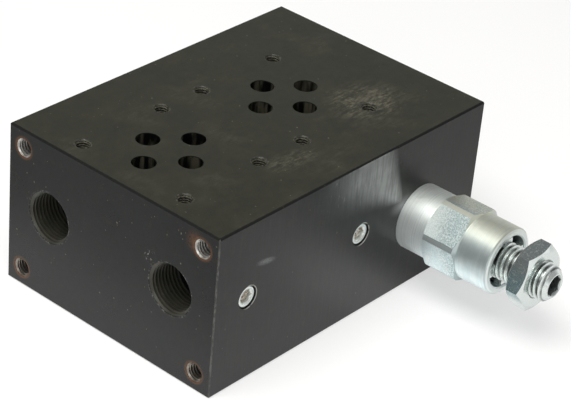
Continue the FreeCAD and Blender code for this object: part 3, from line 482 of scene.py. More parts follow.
def corner_hole_wear(f, looks, end):
    """Bare steel in the four tapped corner holes, stained brown round their mouths."""
    holes = MOUNTS["corner_holes"]
    middle = in_mm(holes["pos_m"])
    across = holes["dims"]["spacing_x_mm"] / 2.0
    up = holes["dims"]["spacing_y_mm"] / 2.0
    radius = holes["dims"]["hole_r_mm"]
    reach = f.distance(abs(f.y - middle[1]) - across, abs(f.z - middle[2]) - up)
    blots = f.noise(0.9, detail=4.0, rough=0.6, shift=3.0)
    inside = reach.under(radius + 0.1, 0.05) * f.x.under(LOW[0] + 15.0, 1.0)
    depth = f.x.under(LOW[0] + 6.0, 5.0)
    rim = reach.between(radius - 0.1, 0.1, radius + 0.7, 0.45)
    rim = rim * f.x.under(LOW[0] + 0.8, 0.3)
    f.paint(rim * (0.3 + 0.6 * blots), looks.rust)
    inside = inside * f.x.over(LOW[0] + 0.25, 0.15)
    stain = f.distance(f.y - (middle[1] - across + 2.6), f.z - (middle[2] + up + 1.0))
    stain = stain.under(2.4, 2.4) * end * (0.3 + 0.7 * blots.over(0.45, 0.2))
    f.paint(stain * 0.75, looks.rust)
    upper = 0.25 + 0.75 * f.z.over(middle[2], 5.0)
    return inside * upper * (0.25 + 0.75 * depth) * (0.6 + 0.4 * blots)


def bolt_hole_wear(f):
    """Broken thin light rims of the valves' bolt holes, and dull steel inside."""
    reach = None
    for row in ("near", "far"):
        first, second = [MOUNTS["valve_bolts_%d_%s" % (i, row)] for i in (1, 2)]
        one, two = in_mm(first["pos_m"]), in_mm(second["pos_m"])
        station = abs(f.x - (one[0] + two[0]) / 2.0) - (two[0] - one[0]) / 2.0
        bolt = abs(station) - first["dims"]["spacing_x_mm"] / 2.0
        gap = f.distance(bolt, f.y - one[1])
        reach = gap if reach is None else f.least(reach, gap)
    radius = MOUNTS["valve_bolts_1_near"]["dims"]["hole_r_mm"]
    rim = reach.between(radius - 0.15, 0.1, radius + 0.3, 0.1)
    rim = rim * f.z.over(HIGH[2] - 0.6, 0.2) * f.noise(1.1, detail=2.0).over(0.55, 0.08)
    inside = reach.under(radius + 0.1, 0.05) * f.z.over(HIGH[2] - 13.0, 0.5)
    return f.most(rim * 0.10, inside * 0.03)


def port_mouth_wear(f, end):
    """Bright flecks where fittings have knocked the mouths of the two main ports."""
    port = MOUNTS["main_port_near"]
    centre, radius = in_mm(port["pos_m"]), port["dims"]["r_mm"]
    reach = f.distance(abs(f.y) - abs(centre[1]), f.z - centre[2])
    fleck = f.noise(0.8, detail=3.0, rough=0.7, shift=23.0)
    rim = reach.between(radius - 0.1, 0.1, radius + 0.5, 0.3)
    knocks = f.ellipse(f.y, f.z, (-16.6, 36.2), (2.6, 3.0)).under(0.7, 0.4) * end
    sharp = fleck.over(0.60, 0.04)
    return f.most(rim * fleck.over(0.58, 0.08) * 0.25, knocks * sharp * 0.5)


def hole_walls(f):
    """1 on the upper walls of the holes in the valve face, less further down."""
    along = f.least(f.x - LOW[0], HIGH[0] - f.x)
    across = f.least(f.y - LOW[1], HIGH[1] - f.y)
    inside = f.least(along, across).over(1.0, 0.2)
    return inside * f.z.between(HIGH[2] - 6.0, 3.0, HIGH[2] - 0.3, 0.1)


def plug_places():
    """Centres of the plugs in the cartridge side, along X and Z in millimetres."""
    places = []
    for name in ("front_plug_1", "front_plug_2"):
        low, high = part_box(name)
        middle = in_mm((low + high) / 2.0)
        places.append((middle[0], middle[2]))
    return places


def plug_reach(f):
    """Distance from the axis of the nearer plug in the cartridge side."""
    near, far = [f.distance(f.x - x, f.z - z) for x, z in plug_places()]
    return f.least(near, far)


def plug_bore_glint(f, looks, side):
    """A painted highlight: a broken bright arc right of each plug, on the edge of its bore."""
    reach = plug_reach(f)
    arc = reach.between(PLUG_RADIUS + 0.03, 0.04, PLUG_RADIUS + 0.35, 0.1) * side
    # The plugs lie 50 mm apart, so that one count along X marks the right of both
    right_of_plug = f.maths("MODULO", f.x + 90.0, 50.0).over(43.4, 1.5)
    arc = arc * right_of_plug * f.noise(1.6, detail=2.0, shift=5.0).over(0.42, 0.08)
    f.paint(arc * 0.9, looks.bare_steel_and_glint)


def body_finish(looks):
    """Turned steel with bright zinc; the hexagon's flats are sandy and mottled."""
    f = CartridgeFinish("body_zinc")
    rings = f.node("ShaderNodeTexNoise", {"noise_dimensions": "1D"},
                   {"W": f.out, "Scale": 2.2, "Detail": 2.0, "Roughness": 0.6})
    cloud = f.noise(3.5, detail=3.0, rough=0.5, shift=7.0)
    mottle = f.noise(0.4, detail=3.0, rough=0.65, shift=13.0)
    hexagon = f.out.between(HEXAGON_START, 0.1, HEXAGON_END, 0.1)
    flat = f.on_flats(BODY_WRENCH, BODY_TURN) * hexagon
    corner = hexagon * (1.0 - flat)
    sleeve = f.out.over(HEXAGON_END, 0.1)
    sandy = flat * (0.25 + 0.75 * (f.out + 0.35 * f.up).over(17.5, 4.0))
    dull = 0.22 * cloud.over(0.5, 0.25) + sandy * (0.25 + 0.75 * mottle.over(0.48, 0.12))
    # Painted shade: the hexagon's corner bands are made duller, most below the middle, and so
    # is the upper side of the sleeve, darkening the lamp's reflection there.
    dull = dull + corner * (0.25 + 0.55 * f.up.under(2.0, 1.0))
    dull = dull + sleeve * 0.6 * f.up.over(-2.0, 5.0)
    tinge = f.noise(5.0, stretch=(1.0, 0.5, 1.0), detail=2.0, shift=57.0)
    metal = f.blend(f.up.under(3.0, 4.0) * tinge.over(0.42, 0.2) * 0.5, looks.zinc,
                    looks.zinc_blue)
    f.base = f.blend(dull + 0.08 * rings, metal, looks.dull_zinc_and_shade)
    collar = f.out.under(9.9, 0.2)
    # The turned collar is brighter zinc, with a painted highlight that grows towards the
    # block.
    f.paint(collar * (0.5 + 0.4 * f.out.under(5.0, 5.0)), looks.bright_zinc_and_highlight)
    # An olive tinge on the upper side of the cartridge, less of it on the collar and none on
    # the hexagon's flats left of the axis.
    dark_tint = f.up.over(8.0, 2.2) * (0.35 + 0.6 * tinge) * (1.0 - 0.8 * collar)
    dark_tint = dark_tint * (1.0 - flat * f.across.under(-1.0, 1.5))
    f.paint(dark_tint, looks.zinc_olive)
    f.paint((1.0 - hexagon) * rings.over(0.55, 0.08) * 0.2, looks.dull_zinc_and_shade)
    f.paint(sandy * mottle.over(0.51, 0.07) * 0.36, looks.dark_reflection_and_specks)
    # Painted highlight on the chamfer at the end of the sleeve.
    f.paint(f.out.over(SLEEVE_END - 0.45, 0.1) * 0.7, looks.bright_zinc_and_highlight)
    turned = (1.0 - hexagon) * (1.0 - 0.8 * sleeve)
    rough = 0.22 + 0.14 * cloud + 0.12 * (flat + sleeve + corner) + 0.2 * turned
    relief = rings * turned * 1.3 + sandy * mottle * 1.6 + 0.1 * cloud
    return f.surface(rough, 0.86, f.bump(relief, 0.05, 1.0))


def nut_finish(looks):
    """Zinc on drawn flats, scratched, with painted dark blue and brown reflections on the
    upper flats; the chamfers and low flats are bright.
    """
    f = CartridgeFinish("nut_zinc")
    cloud = f.noise(2.2, detail=4.0, rough=0.6, shift=19.0)
    drawn = f.noise(0.35, stretch=(1.0, 9.0, 1.0), detail=3.0, rough=0.6)
    flat = f.on_flats(NUT_WRENCH, NUT_TURN)
    high = (f.up - 0.2 * f.across).over(-3.5, 3.0)
    upper = f.up.over(4.0, 3.0) * flat
    root = f.reach.under(6.3, 0.15)
    # Painted reflections: dark blue on the upper and left flats, brown on the top ones.
    f.base = f.blend(flat * high * (0.6 + 0.4 * cloud), looks.zinc, looks.dark_reflection_and_specks)
    f.paint(upper * 0.45, looks.nut_top_reflection)
    f.paint(drawn.over(0.66, 0.04) * flat * 0.35, looks.zinc)
    flecks = f.noise(0.6, detail=2.0, shift=87.0).over(0.60, 0.04)
    f.paint(flecks * flat * cloud * 0.9, looks.zinc)
    f.paint(root * 0.5, looks.dirt)
    rough = 0.14 + 0.10 * cloud + 0.04 * flat
    relief = cloud * 0.5 + drawn * flat * 0.8
    return f.surface(rough, 0.88, f.bump(relief, 0.02, 0.6))


def screw_finish(looks):
    """Bright crests and end, with black oil in the thread's roots and the key socket."""
    f = CartridgeFinish("screw_zinc")
    grain = f.noise(0.5, detail=3.0)
    cloud = f.noise(2.6, detail=3.0, shift=37.0)
    crest = SCREW_CREST / MM
    root = f.reach.under(crest - 0.5, 0.3) * f.out.under(SCREW_END - 1.1, 0.15)
    socket = f.reach.under(3.5, 0.08) * f.out.under(SCREW_END - 0.25, 0.12)
    dark_tint = f.most(root * (0.35 + 0.5 * cloud.over(0.42, 0.2)), socket * 0.4)
    f.base = f.blend(dark_tint, looks.zinc, looks.thread_oil)
    f.paint(socket * grain.over(0.55, 0.1) * 0.4, looks.dull_zinc_and_shade)
    rough = 0.16 + 0.14 * grain + 0.12 * dark_tint
    return f.surface(rough, 0.9, f.bump(grain, 0.014, 0.5))


def bush_finish(looks):
    """Zinc, with painted shade near black in the thread and in the bottoms of the slots."""
    f = CartridgeFinish("bush_zinc")
    grain = f.noise(0.7, detail=3.0)
    deep = f.out.under(31.6, 0.7)
    # Painted shade: near black deep in the slots and round the bore.
    dark_tint = f.most(deep, f.reach.under(6.2, 0.25)) * (0.7 + 0.3 * grain)
    f.base = f.blend(dark_tint, looks.zinc, looks.slot_shade)
    return f.surface(0.2 + 0.14 * grain, 0.88, f.bump(grain, 0.02, 0.5))


def plug_finish(looks):
    """Bright zinc, a little brown about the key socket and dark at the rim."""
    f = SolidFinish("plug_zinc")
    grain = f.noise(0.55, detail=4.0, rough=0.6)
    reach = plug_reach(f)
    about_socket = reach.under(2.7, 0.2) * grain.over(0.5, 0.1)
    f.base = f.blend(about_socket * 0.4, looks.zinc, looks.dried_grease)
    f.paint(grain.over(0.64, 0.06) * 0.25, looks.dirt)
    f.paint(reach.over(PLUG_RADIUS - 0.4, 0.12) * 0.9, looks.plug_rim)
    return f.surface(0.28 + 0.2 * grain, 0.6, f.bump(grain, 0.03, 0.6))


def grease_finish(looks):
    """Dried grease and grit, with rusty lumps and with dark and pale specks."""
    f = SolidFinish("dried_grease")
    lumps = f.noise(0.9, detail=3.0, rough=0.6, shift=47.0)
    specks = f.noise(0.7, detail=2.0, shift=61.0)
    f.base = f.blend(lumps.over(0.55, 0.08) * 0.8, looks.dried_grease, looks.rusty_grit)
    f.paint(specks.over(0.58, 0.04), looks.dirt)
    f.paint(specks.under(0.42, 0.03) * 0.8, looks.pale_grit)
    return f.surface(0.45 + 0.2 * lumps, 0.0, f.bump(lumps, 0.25, 0.8))


def plain_metal(name, tone, smooth):
    """A finely ground or drawn metal."""
    f = SolidFinish(name)
    grain = f.noise(0.4, stretch=(1.0, 6.0, 1.0), detail=3.0)
    f.base = f.blend(0.25 * grain, tone, BLACK)
    return f.surface(smooth + 0.15 * grain, 1.0, f.bump(grain, 0.006, 0.4))


def soft_ring(name, tone, smooth):
    """Moulded rubber or turned plastic."""
    f = SolidFinish(name)
    grain = f.noise(0.5, detail=3.0)
    f.base = f.blend(0.3 * grain, tone, BLACK)
    return f.surface(smooth + 0.1 * grain, 0.0, f.bump(grain, 0.01, 0.5))


def port_thread_finish(looks):
    """Blackened port threads, brown with old oil, their flanks faintly bright."""
    f = SolidFinish("port_thread_oxide")
    grain = f.noise(0.6, detail=4.0, rough=0.6)
    cloud = f.noise(4.0, detail=3.0, shift=4.0)
    f.base = f.blend(0.05 + 0.4 * cloud, looks.oxide_side, looks.rubbed)
    f.paint(grain.over(0.6, 0.1) * 0.4, looks.dirt)
    return f.surface(0.26 + 0.16 * grain, 0.35, f.bump(grain, 0.02, 0.5))


def corner_thread_finish(looks):
    """Bare corner threads: bright in the upper holes, brown and dull in the lower ones."""
    f = SolidFinish("corner_thread_steel")
    grain = f.noise(0.6, detail=4.0, rough=0.6)
    middle = in_mm(MOUNTS["corner_holes"]["pos_m"])
    lower = f.z.under(middle[2], 5.0)
    f.base = f.blend(lower * 0.75 + 0.2 * grain, looks.bare_steel_and_glint, looks.old_thread)
    f.paint(grain.over(0.6, 0.08) * 0.5, looks.rust)
    return f.surface(0.22 + 0.2 * grain, 0.9, f.bump(grain, 0.02, 0.5))


def bolt_thread_finish(looks):
    """Bolt threads with most of their oxide left."""
    f = SolidFinish("bolt_thread_oxide")
    grain = f.noise(0.8, detail=3.0, shift=9.0)
    f.base = f.blend(0.15 + grain.over(0.5, 0.15) * 0.4, looks.oxide_side, looks.rubbed)
    return f.surface(0.45 + 0.2 * grain, 0.2, f.bump(grain, 0.02, 0.5), IOR=1.3)


# Modelling

def mode(name):
    bpy.ops.object.mode_set(mode=name)


def choose(*pieces):
    """Select these pieces and nothing else. The first of them is the active one."""
    bpy.ops.object.select_all(action="DESELECT")
    for piece in pieces:
        piece.select_set(True)
    if pieces:
        bpy.context.view_layer.objects.active = pieces[0]


def settle(piece):
    """Put a piece's place into its mesh."""
    choose(piece)
    bpy.ops.object.transform_apply(location=True, rotation=True, scale=True)


def new_piece():
    """The piece that was just added, its place put into its mesh."""
    piece = bpy.context.object
    settle(piece)
    return piece


def pick(piece, wanted, kind="VERT"):
    """Select the vertices, or the faces, that are wanted, and stay in edit mode."""
    mode("EDIT")
    bpy.ops.mesh.select_mode(type=kind)
    bpy.ops.mesh.select_all(action="DESELECT")
    mode("OBJECT")
    found = 0
    for part in piece.data.vertices if kind == "VERT" else piece.data.polygons:
        part.select = wanted(part)
        found += part.select
    if not found:
        raise RuntimeError("nothing to select on " + piece.name)
    mode("EDIT")


def close_up(piece, sides):
    """Close the open ends, and turn all faces outwards, judged by the enclosed volume."""
    mode("EDIT")
    bpy.ops.mesh.select_all(action="SELECT")
    bpy.ops.mesh.fill_holes(sides=sides)
    bpy.ops.mesh.select_all(action="SELECT")
    bpy.ops.mesh.normals_make_consistent(inside=False)
    mode("OBJECT")
    piece.data.calc_loop_triangles()
    points = piece.data.vertices
    volume = 0.0
    for triangle in piece.data.loop_triangles:
        first, second, third = [points[i].co for i in triangle.vertices]
        volume += first.dot(second.cross(third))
    if volume < 0.0:
        mode("EDIT")
        bpy.ops.mesh.flip_normals()
        mode("OBJECT")


def apply_modifier(piece, modifier):
    bpy.context.view_layer.objects.active = piece
    bpy.ops.object.modifier_apply(modifier=modifier.name)


def wind(piece, angle, rise, rounds, steps):
    """Wind an outline about the Z axis: each round turns by the angle and climbs the rise."""
    winding = piece.modifiers.new("winding", "SCREW")
    winding.axis = "Z"
    winding.angle = angle
    winding.screw_offset = rise
    winding.iterations = rounds
    winding.steps = winding.render_steps = steps
    apply_modifier(piece, winding)


def cut_ridge(name, base, tip, widths, pitch, depth, facets):
    """Wind one thread ridge about the Z axis, from the depth up past zero."""
    base_width, tip_width = [pitch * width for width in widths]
    choose()
    bpy.ops.mesh.primitive_plane_add(size=1.0, rotation=(RIGHT_ANGLE, 0.0, 0.0),
                                     location=((base + tip) / 2.0, 0.0, -depth - pitch))
    ridge = bpy.context.object
    ridge.name = name
    ridge.scale = (abs(tip - base), base_width, 1.0)
    settle(ridge)
    pick(ridge, lambda point: abs(point.co.x - tip) < abs(tip - base) / 4.0)
    bpy.ops.transform.resize(value=(1.0, 1.0, tip_width / base_width),
                             center_override=(tip, 0.0, -depth - pitch))
    bpy.ops.mesh.select_all(action="SELECT")
    bpy.ops.mesh.delete(type="ONLY_FACE")
    mode("OBJECT")
    wind(ridge, FULL_TURN, pitch, math.ceil(depth / pitch) + 2, facets)
    close_up(ridge, 4)
    return ridge


def trim(piece, envelope):
    """Keep what lies inside the envelope, and delete the envelope."""
    cut = piece.modifiers.new("trim", "BOOLEAN")
    cut.operation = "INTERSECT"
    cut.solver = "EXACT"
    cut.object = envelope
    apply_modifier(piece, cut)
    bpy.data.objects.remove(envelope)
    if not piece.data.polygons:
        raise RuntimeError(piece.name + " is empty after its trim")
    choose(piece)
    bpy.ops.object.shade_smooth_by_angle(angle=SMOOTH_BELOW)


def inner_thread(name, radius, height, pitch, mouth, depth, facets):
    """A ridge that stands inwards from a bore, cut off at its countersunk mouth."""
    ridge = cut_ridge(name, radius + SLIVER, radius - height, INNER_RIDGE, pitch, depth,
                      facets)
    choose()
    bpy.ops.mesh.primitive_cylinder_add(vertices=facets, radius=radius + SLIVER * 2.0,
                                        depth=depth, end_fill_type="TRIFAN",
                                        location=(0.0, 0.0, -depth / 2.0))
    envelope = new_piece()
    middle = radius / 2.0
    pick(envelope, lambda point: point.co.z > -depth / 2.0 and point.co.xy.length < middle)
    bpy.ops.transform.translate(value=(0.0, 0.0, -radius - mouth))
    mode("OBJECT")
    pick(envelope, lambda point: point.co.z > -depth / 2.0 and point.co.xy.length > middle)
    bpy.ops.transform.translate(value=(0.0, 0.0, -mouth))
    mode("OBJECT")
    trim(ridge, envelope)
    return ridge


def repeat(piece, places, outward):
    """Copy a piece to each place, its Z axis turned outward."""
    turn = Vector(outward).to_track_quat("Z", "Y").to_matrix().to_4x4()
    copies = []
    for place in places:
        choose(piece)
        bpy.ops.object.duplicate(linked=False)
        copy = bpy.context.object
        copy.matrix_world = Matrix.Translation(place) @ turn
        settle(copy)
        copies.append(copy)
    return copies


def join(name, copies, template, body, material):
    """Make one piece of the copies, dress it and let it ride on its body."""
    bpy.data.objects.remove(template)
    choose(*copies)
    if len(copies) > 1:
        bpy.ops.object.join()
    piece = copies[0]
    piece.name = name
    piece.data.materials.clear()
    piece.data.materials.append(material)
    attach(piece, body)


def thread_holes(kind, radius, form, depth, facets, holes, material):
    """Thread all holes of one kind.

    The form is the thread's height and pitch and the chamfer at its mouth. Each entry of
    the holes has some places and the way that they open.
    """
    ridge = inner_thread(kind + "_thread", radius, *form, depth, facets)
    copies = []
    for places, outward in holes:
        copies += repeat(ridge, places, outward)
    join(kind + "_threads", copies, ridge, "valve_plate", material)


def on_face(mount):
    """The mount's axis point where it leaves the block."""
    place, axis = Vector(mount["pos_m"]), mount["axis"]
    for i, way in enumerate(axis):
        if way:
            place[i] = (BLOCK_HIGH if way > 0 else BLOCK_LOW)[i]
    return place


def pattern_places(mount, across, up):
    """Places of a bolt pattern, spread along the two given directions."""
    dims = mount["dims"]
    wide = dims["spacing_x_mm"] / 2.0 * MM
    tall = dims.get("spacing_y_mm", 0.0) / 2.0 * MM
    middle = Vector(mount["pos_m"])
    ups = (-tall, tall) if tall else (0.0,)
    return [middle + Vector(across) * side + Vector(up) * level
            for side in (-wide, wide) for level in ups]


def dress(names, material):
    """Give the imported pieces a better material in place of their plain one."""
    for name in names:
        for slot in frame["nodes"][name].material_slots:
            slot.material = material


# Operators, one for each piece or group

class Step:
    """What all the operators share."""

    bl_options = {"REGISTER", "UNDO"}


class VALVEPLATE_OT_port_threads(Step, bpy.types.Operator):
    """Cut the G3/8 threads of the two main ports and the four service ports"""

    bl_idname = "valve_plate.port_threads"
    bl_label = "Port threads"

    def execute(self, context):
        sizes = context.scene.valve_plate_threads
        ports = [mount for name, mount in MOUNTS.items() if "port_" in name
                 and mount["kind"] == "threaded_hole"]
        dims = ports[0]["dims"]
        form = (sizes.port_height, sizes.port_pitch, sizes.mouth)
        thread_holes("port", dims["r_mm"] * MM, form, dims["length_mm"] * MM + sizes.mouth,
                     sizes.facets * 3 // 2,
                     [([on_face(port)], port["axis"]) for port in ports],
                     port_thread_finish(context.scene.valve_plate_finishes))
        return {"FINISHED"}


class VALVEPLATE_OT_corner_threads(Step, bpy.types.Operator):
    """Cut the M6 threads of the four corner holes"""

    bl_idname = "valve_plate.corner_threads"
    bl_label = "Corner threads"

    def execute(self, context):
        sizes = context.scene.valve_plate_threads
        holes = MOUNTS["corner_holes"]
        places = pattern_places(holes, (0.0, 1.0, 0.0), (0.0, 0.0, 1.0))
        form = (sizes.corner_height, sizes.corner_pitch, sizes.mouth)
        thread_holes("corner", holes["dims"]["hole_r_mm"] * MM, form, sizes.corner_depth,
                     sizes.facets, [(places, holes["axis"])],
                     corner_thread_finish(context.scene.valve_plate_finishes))
        return {"FINISHED"}


class VALVEPLATE_OT_bolt_threads(Step, bpy.types.Operator):
    """Cut the M5 threads of the eight valve bolt holes"""

    bl_idname = "valve_plate.bolt_threads"
    bl_label = "Bolt threads"

    def execute(self, context):
        sizes = context.scene.valve_plate_threads
        rows = [mount for name, mount in MOUNTS.items() if name.startswith("valve_bolts")]
        holes = [(pattern_places(row, (1.0, 0.0, 0.0), (0.0, 1.0, 0.0)), row["axis"])
                 for row in rows]
        form = (sizes.bolt_height, sizes.bolt_pitch, sizes.mouth)
        thread_holes("bolt", rows[0]["dims"]["hole_r_mm"] * MM, form, sizes.bolt_depth,
                     sizes.facets * 2 // 3, holes,
                     bolt_thread_finish(context.scene.valve_plate_finishes))
        return {"FINISHED"}


class VALVEPLATE_OT_screw_thread(Step, bpy.types.Operator):
    """Cut the M12 thread of the adjusting screw"""

    bl_idname = "valve_plate.screw_thread"
    bl_label = "Screw thread"

    def execute(self, context):
        sizes = context.scene.valve_plate_threads
        pitch, crest, core = sizes.screw_pitch, sizes.screw_crest, sizes.screw_core
        run = SCREW_HIGH.y - SCREW_LOW.y - sizes.screw_plain_end
        spare, facets = 0.05 * MM, sizes.facets * 3 // 2
        ridge = cut_ridge("screw_ridge", core - spare, crest + spare, OUTER_RIDGE, pitch,
                          run, facets)
        choose()
        bpy.ops.mesh.primitive_cylinder_add(vertices=facets, radius=crest, depth=run,
                                            location=(0.0, 0.0, -run / 2.0))
        envelope = new_piece()
        pick(envelope, lambda face: abs(face.normal.z) > 0.5, "FACE")
        bpy.ops.mesh.bevel(offset=sizes.screw_chamfer, segments=1)
        mode("OBJECT")
        trim(ridge, envelope)
        end = Vector((CARTRIDGE_AXIS.x, SCREW_LOW.y + SLIVER, CARTRIDGE_AXIS.z))
        copies = repeat(ridge, [end], (0.0, -1.0, 0.0))
        join("screw_thread", copies, ridge, "adjusting_screw",
             bpy.data.materials.get("screw_zinc")
             or screw_finish(context.scene.valve_plate_finishes))
        return {"FINISHED"}


class VALVEPLATE_OT_block_finish(Step, bpy.types.Operator):
    """Give the block its black oxide"""

    bl_idname = "valve_plate.block_finish"
    bl_label = "Block finish"

    def execute(self, context):
        looks = context.scene.valve_plate_finishes
        dress(["manifold_block"], block_finish(looks))
        return {"FINISHED"}


class VALVEPLATE_OT_cartridge_finish(Step, bpy.types.Operator):
    """Give the cartridge, its nut, screw and bush their zinc"""

    bl_idname = "valve_plate.cartridge_finish"
    bl_label = "Cartridge finish"

    def execute(self, context):
        looks = context.scene.valve_plate_finishes
        dress(["cartridge_body"], body_finish(looks))
        dress(["lock_nut"], nut_finish(looks))
        dress(["slotted_bush"], bush_finish(looks))
        dress(["adjusting_screw"], screw_finish(looks))
        return {"FINISHED"}


class VALVEPLATE_OT_plug_finish(Step, bpy.types.Operator):
    """Give the plugs their zinc, with dirt in the sockets"""

    bl_idname = "valve_plate.plug_finish"
    bl_label = "Plug finish"

    def execute(self, context):
        looks = context.scene.valve_plate_finishes
        dress(PLUGS, plug_finish(looks))
        return {"FINISHED"}


class VALVEPLATE_OT_socket_grease(Step, bpy.types.Operator):
    """Fill the plugs' key sockets with dried grease"""

    bl_idname = "valve_plate.socket_grease"
    bl_label = "Socket grease"

    def execute(self, context):
        sizes = context.scene.valve_plate_threads
        looks = context.scene.valve_plate_finishes
        thick, gap = 1.2 * MM, 0.03 * MM
        swells = ((0.25, 0.06), (0.45, 0.08), (0.5, 0.0))  # inwards and up, in millimetres
        radius = sizes.socket_flats / 2.0 / math.cos(math.pi / 6.0) - gap
        choose()
        bpy.ops.mesh.primitive_cylinder_add(vertices=6, radius=radius, depth=thick,
                                            rotation=(0.0, 0.0, RIGHT_ANGLE))
        pad = new_piece()
        pick(pad, lambda face: face.normal.z > 0.5, "FACE")
        for inwards, rise in swells:
            bpy.ops.mesh.inset(thickness=inwards * MM, depth=rise * MM)
        mode("OBJECT")
        soft = pad.modifiers.new("soft", "BEVEL")
        soft.width, soft.segments = 0.12 * MM, 2
        soft.limit_method = "ANGLE"
        apply_modifier(pad, soft)
        bpy.ops.object.shade_smooth_by_angle(angle=SMOOTH_GREASE)
        copies = []
        for name, way in PLUGS.items():
            low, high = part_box(name)
            place = (low + high) / 2.0
            face = low.y if way < 0.0 else high.y
            place.y = face - way * (sizes.grease_depth + thick / 2.0)
            copies += repeat(pad, [place], (0.0, way, 0.0))
        join("socket_grease", copies, pad, "valve_plate",
             grease_finish(looks))
        return {"FINISHED"}


class VALVEPLATE_OT_inner_finish(Step, bpy.types.Operator):
    """Finish the working parts and seals inside the cartridge"""

    bl_idname = "valve_plate.inner_finish"
    bl_label = "Inner parts"

    def execute(self, context):
        looks = context.scene.valve_plate_finishes
        dress(["valve_seat", "poppet", "spring_plate", "spring_button"],
              plain_metal("ground_steel", looks.hard_steel, 0.18))
        dress(["button_seal", "shoulder_seal", "nose_seal"],
              soft_ring("seal_rubber", looks.rubber, 0.5))
        dress(["nose_backup_outer", "nose_backup_inner"],
              soft_ring("backup_plastic", looks.plastic, 0.45))
        return {"FINISHED"}


class VALVEPLATE_OT_pressure_spring(Step, bpy.types.Operator):
    """Wind the pressure spring in two lengths"""

    bl_idname = "valve_plate.pressure_spring"
    bl_label = "Pressure spring"

    def execute(self, context):
        sizes = context.scene.valve_plate_threads
        low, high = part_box("pressure_spring")
        foot = Vector(((low.x + high.x) / 2.0, high.y, (low.z + high.z) / 2.0))
        free, wire, coils = high.y - low.y, sizes.spring_wire, sizes.spring_coils
        split, mean = sizes.spring_split, (high.x - low.x - wire) / 2.0
        looks = context.scene.valve_plate_finishes
        steel = plain_metal("spring_wire", looks.spring_steel, 0.3)
        level = wire + (free - 2.0 * wire) / (coils - 2.0) * (split - 1.0)
        lengths = {  # turns and heights, then the body and height that each end follows
            "spring_lower": ((0.0, 1.0, split), (0.0, wire, level),
                             ("poppet", 0.0), ("valve_plate", level - wire / 2.0)),
            "spring_upper": ((split, coils - 1.0, coils), (level, free - wire, free),
                             ("valve_plate", level + wire / 2.0), ("spring_button", free)),
        }
        for name, (turns, heights, inner, outer) in lengths.items():
            parts = [self.wind_wire(wire, mean, turns[i:i + 2], heights[i:i + 2],
                                    sizes.facets) for i in range(2)]
            piece = self.grind(parts, mean + wire, free)
            piece.name = name
            piece.matrix_world = Matrix.Translation(foot) @ Matrix.Rotation(
                RIGHT_ANGLE, 4, "X")
            settle(piece)
            piece.data.materials.append(steel)
            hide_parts("pressure_spring")
            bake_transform(piece)
        return {"FINISHED"}

    def wind_wire(self, wire, mean, turns, heights, facets):
        """Wind a length of round wire about the Z axis, between two turns and heights."""
        choose()
        bpy.ops.mesh.primitive_circle_add(vertices=WIRE_SIDES, radius=wire / 2.0 - SLIVER,
                                          location=(mean, 0.0, heights[0]),
                                          rotation=(RIGHT_ANGLE, 0.0, 0.0))
        part = new_piece()
        part.rotation_euler.z = FULL_TURN * turns[0]
        settle(part)
        coils = turns[1] - turns[0]
        wind(part, FULL_TURN * coils, heights[1] - heights[0], 1, round(facets * coils))
        return part

    def grind(self, parts, radius, free):
        """Join the lengths of wire, close their ends, and grind the spring's ends flat."""
        choose(*parts)
        bpy.ops.object.join()
        coil = parts[0]
        mode("EDIT")
        bpy.ops.mesh.select_all(action="SELECT")
        bpy.ops.mesh.remove_doubles(threshold=WELD)
        mode("OBJECT")
        close_up(coil, WIRE_SIDES)
        choose()
        bpy.ops.mesh.primitive_cylinder_add(radius=radius, depth=free - 2.0 * SLIVER,
                                            location=(0.0, 0.0, free / 2.0))
        envelope = new_piece()
        trim(coil, envelope)
        return coil


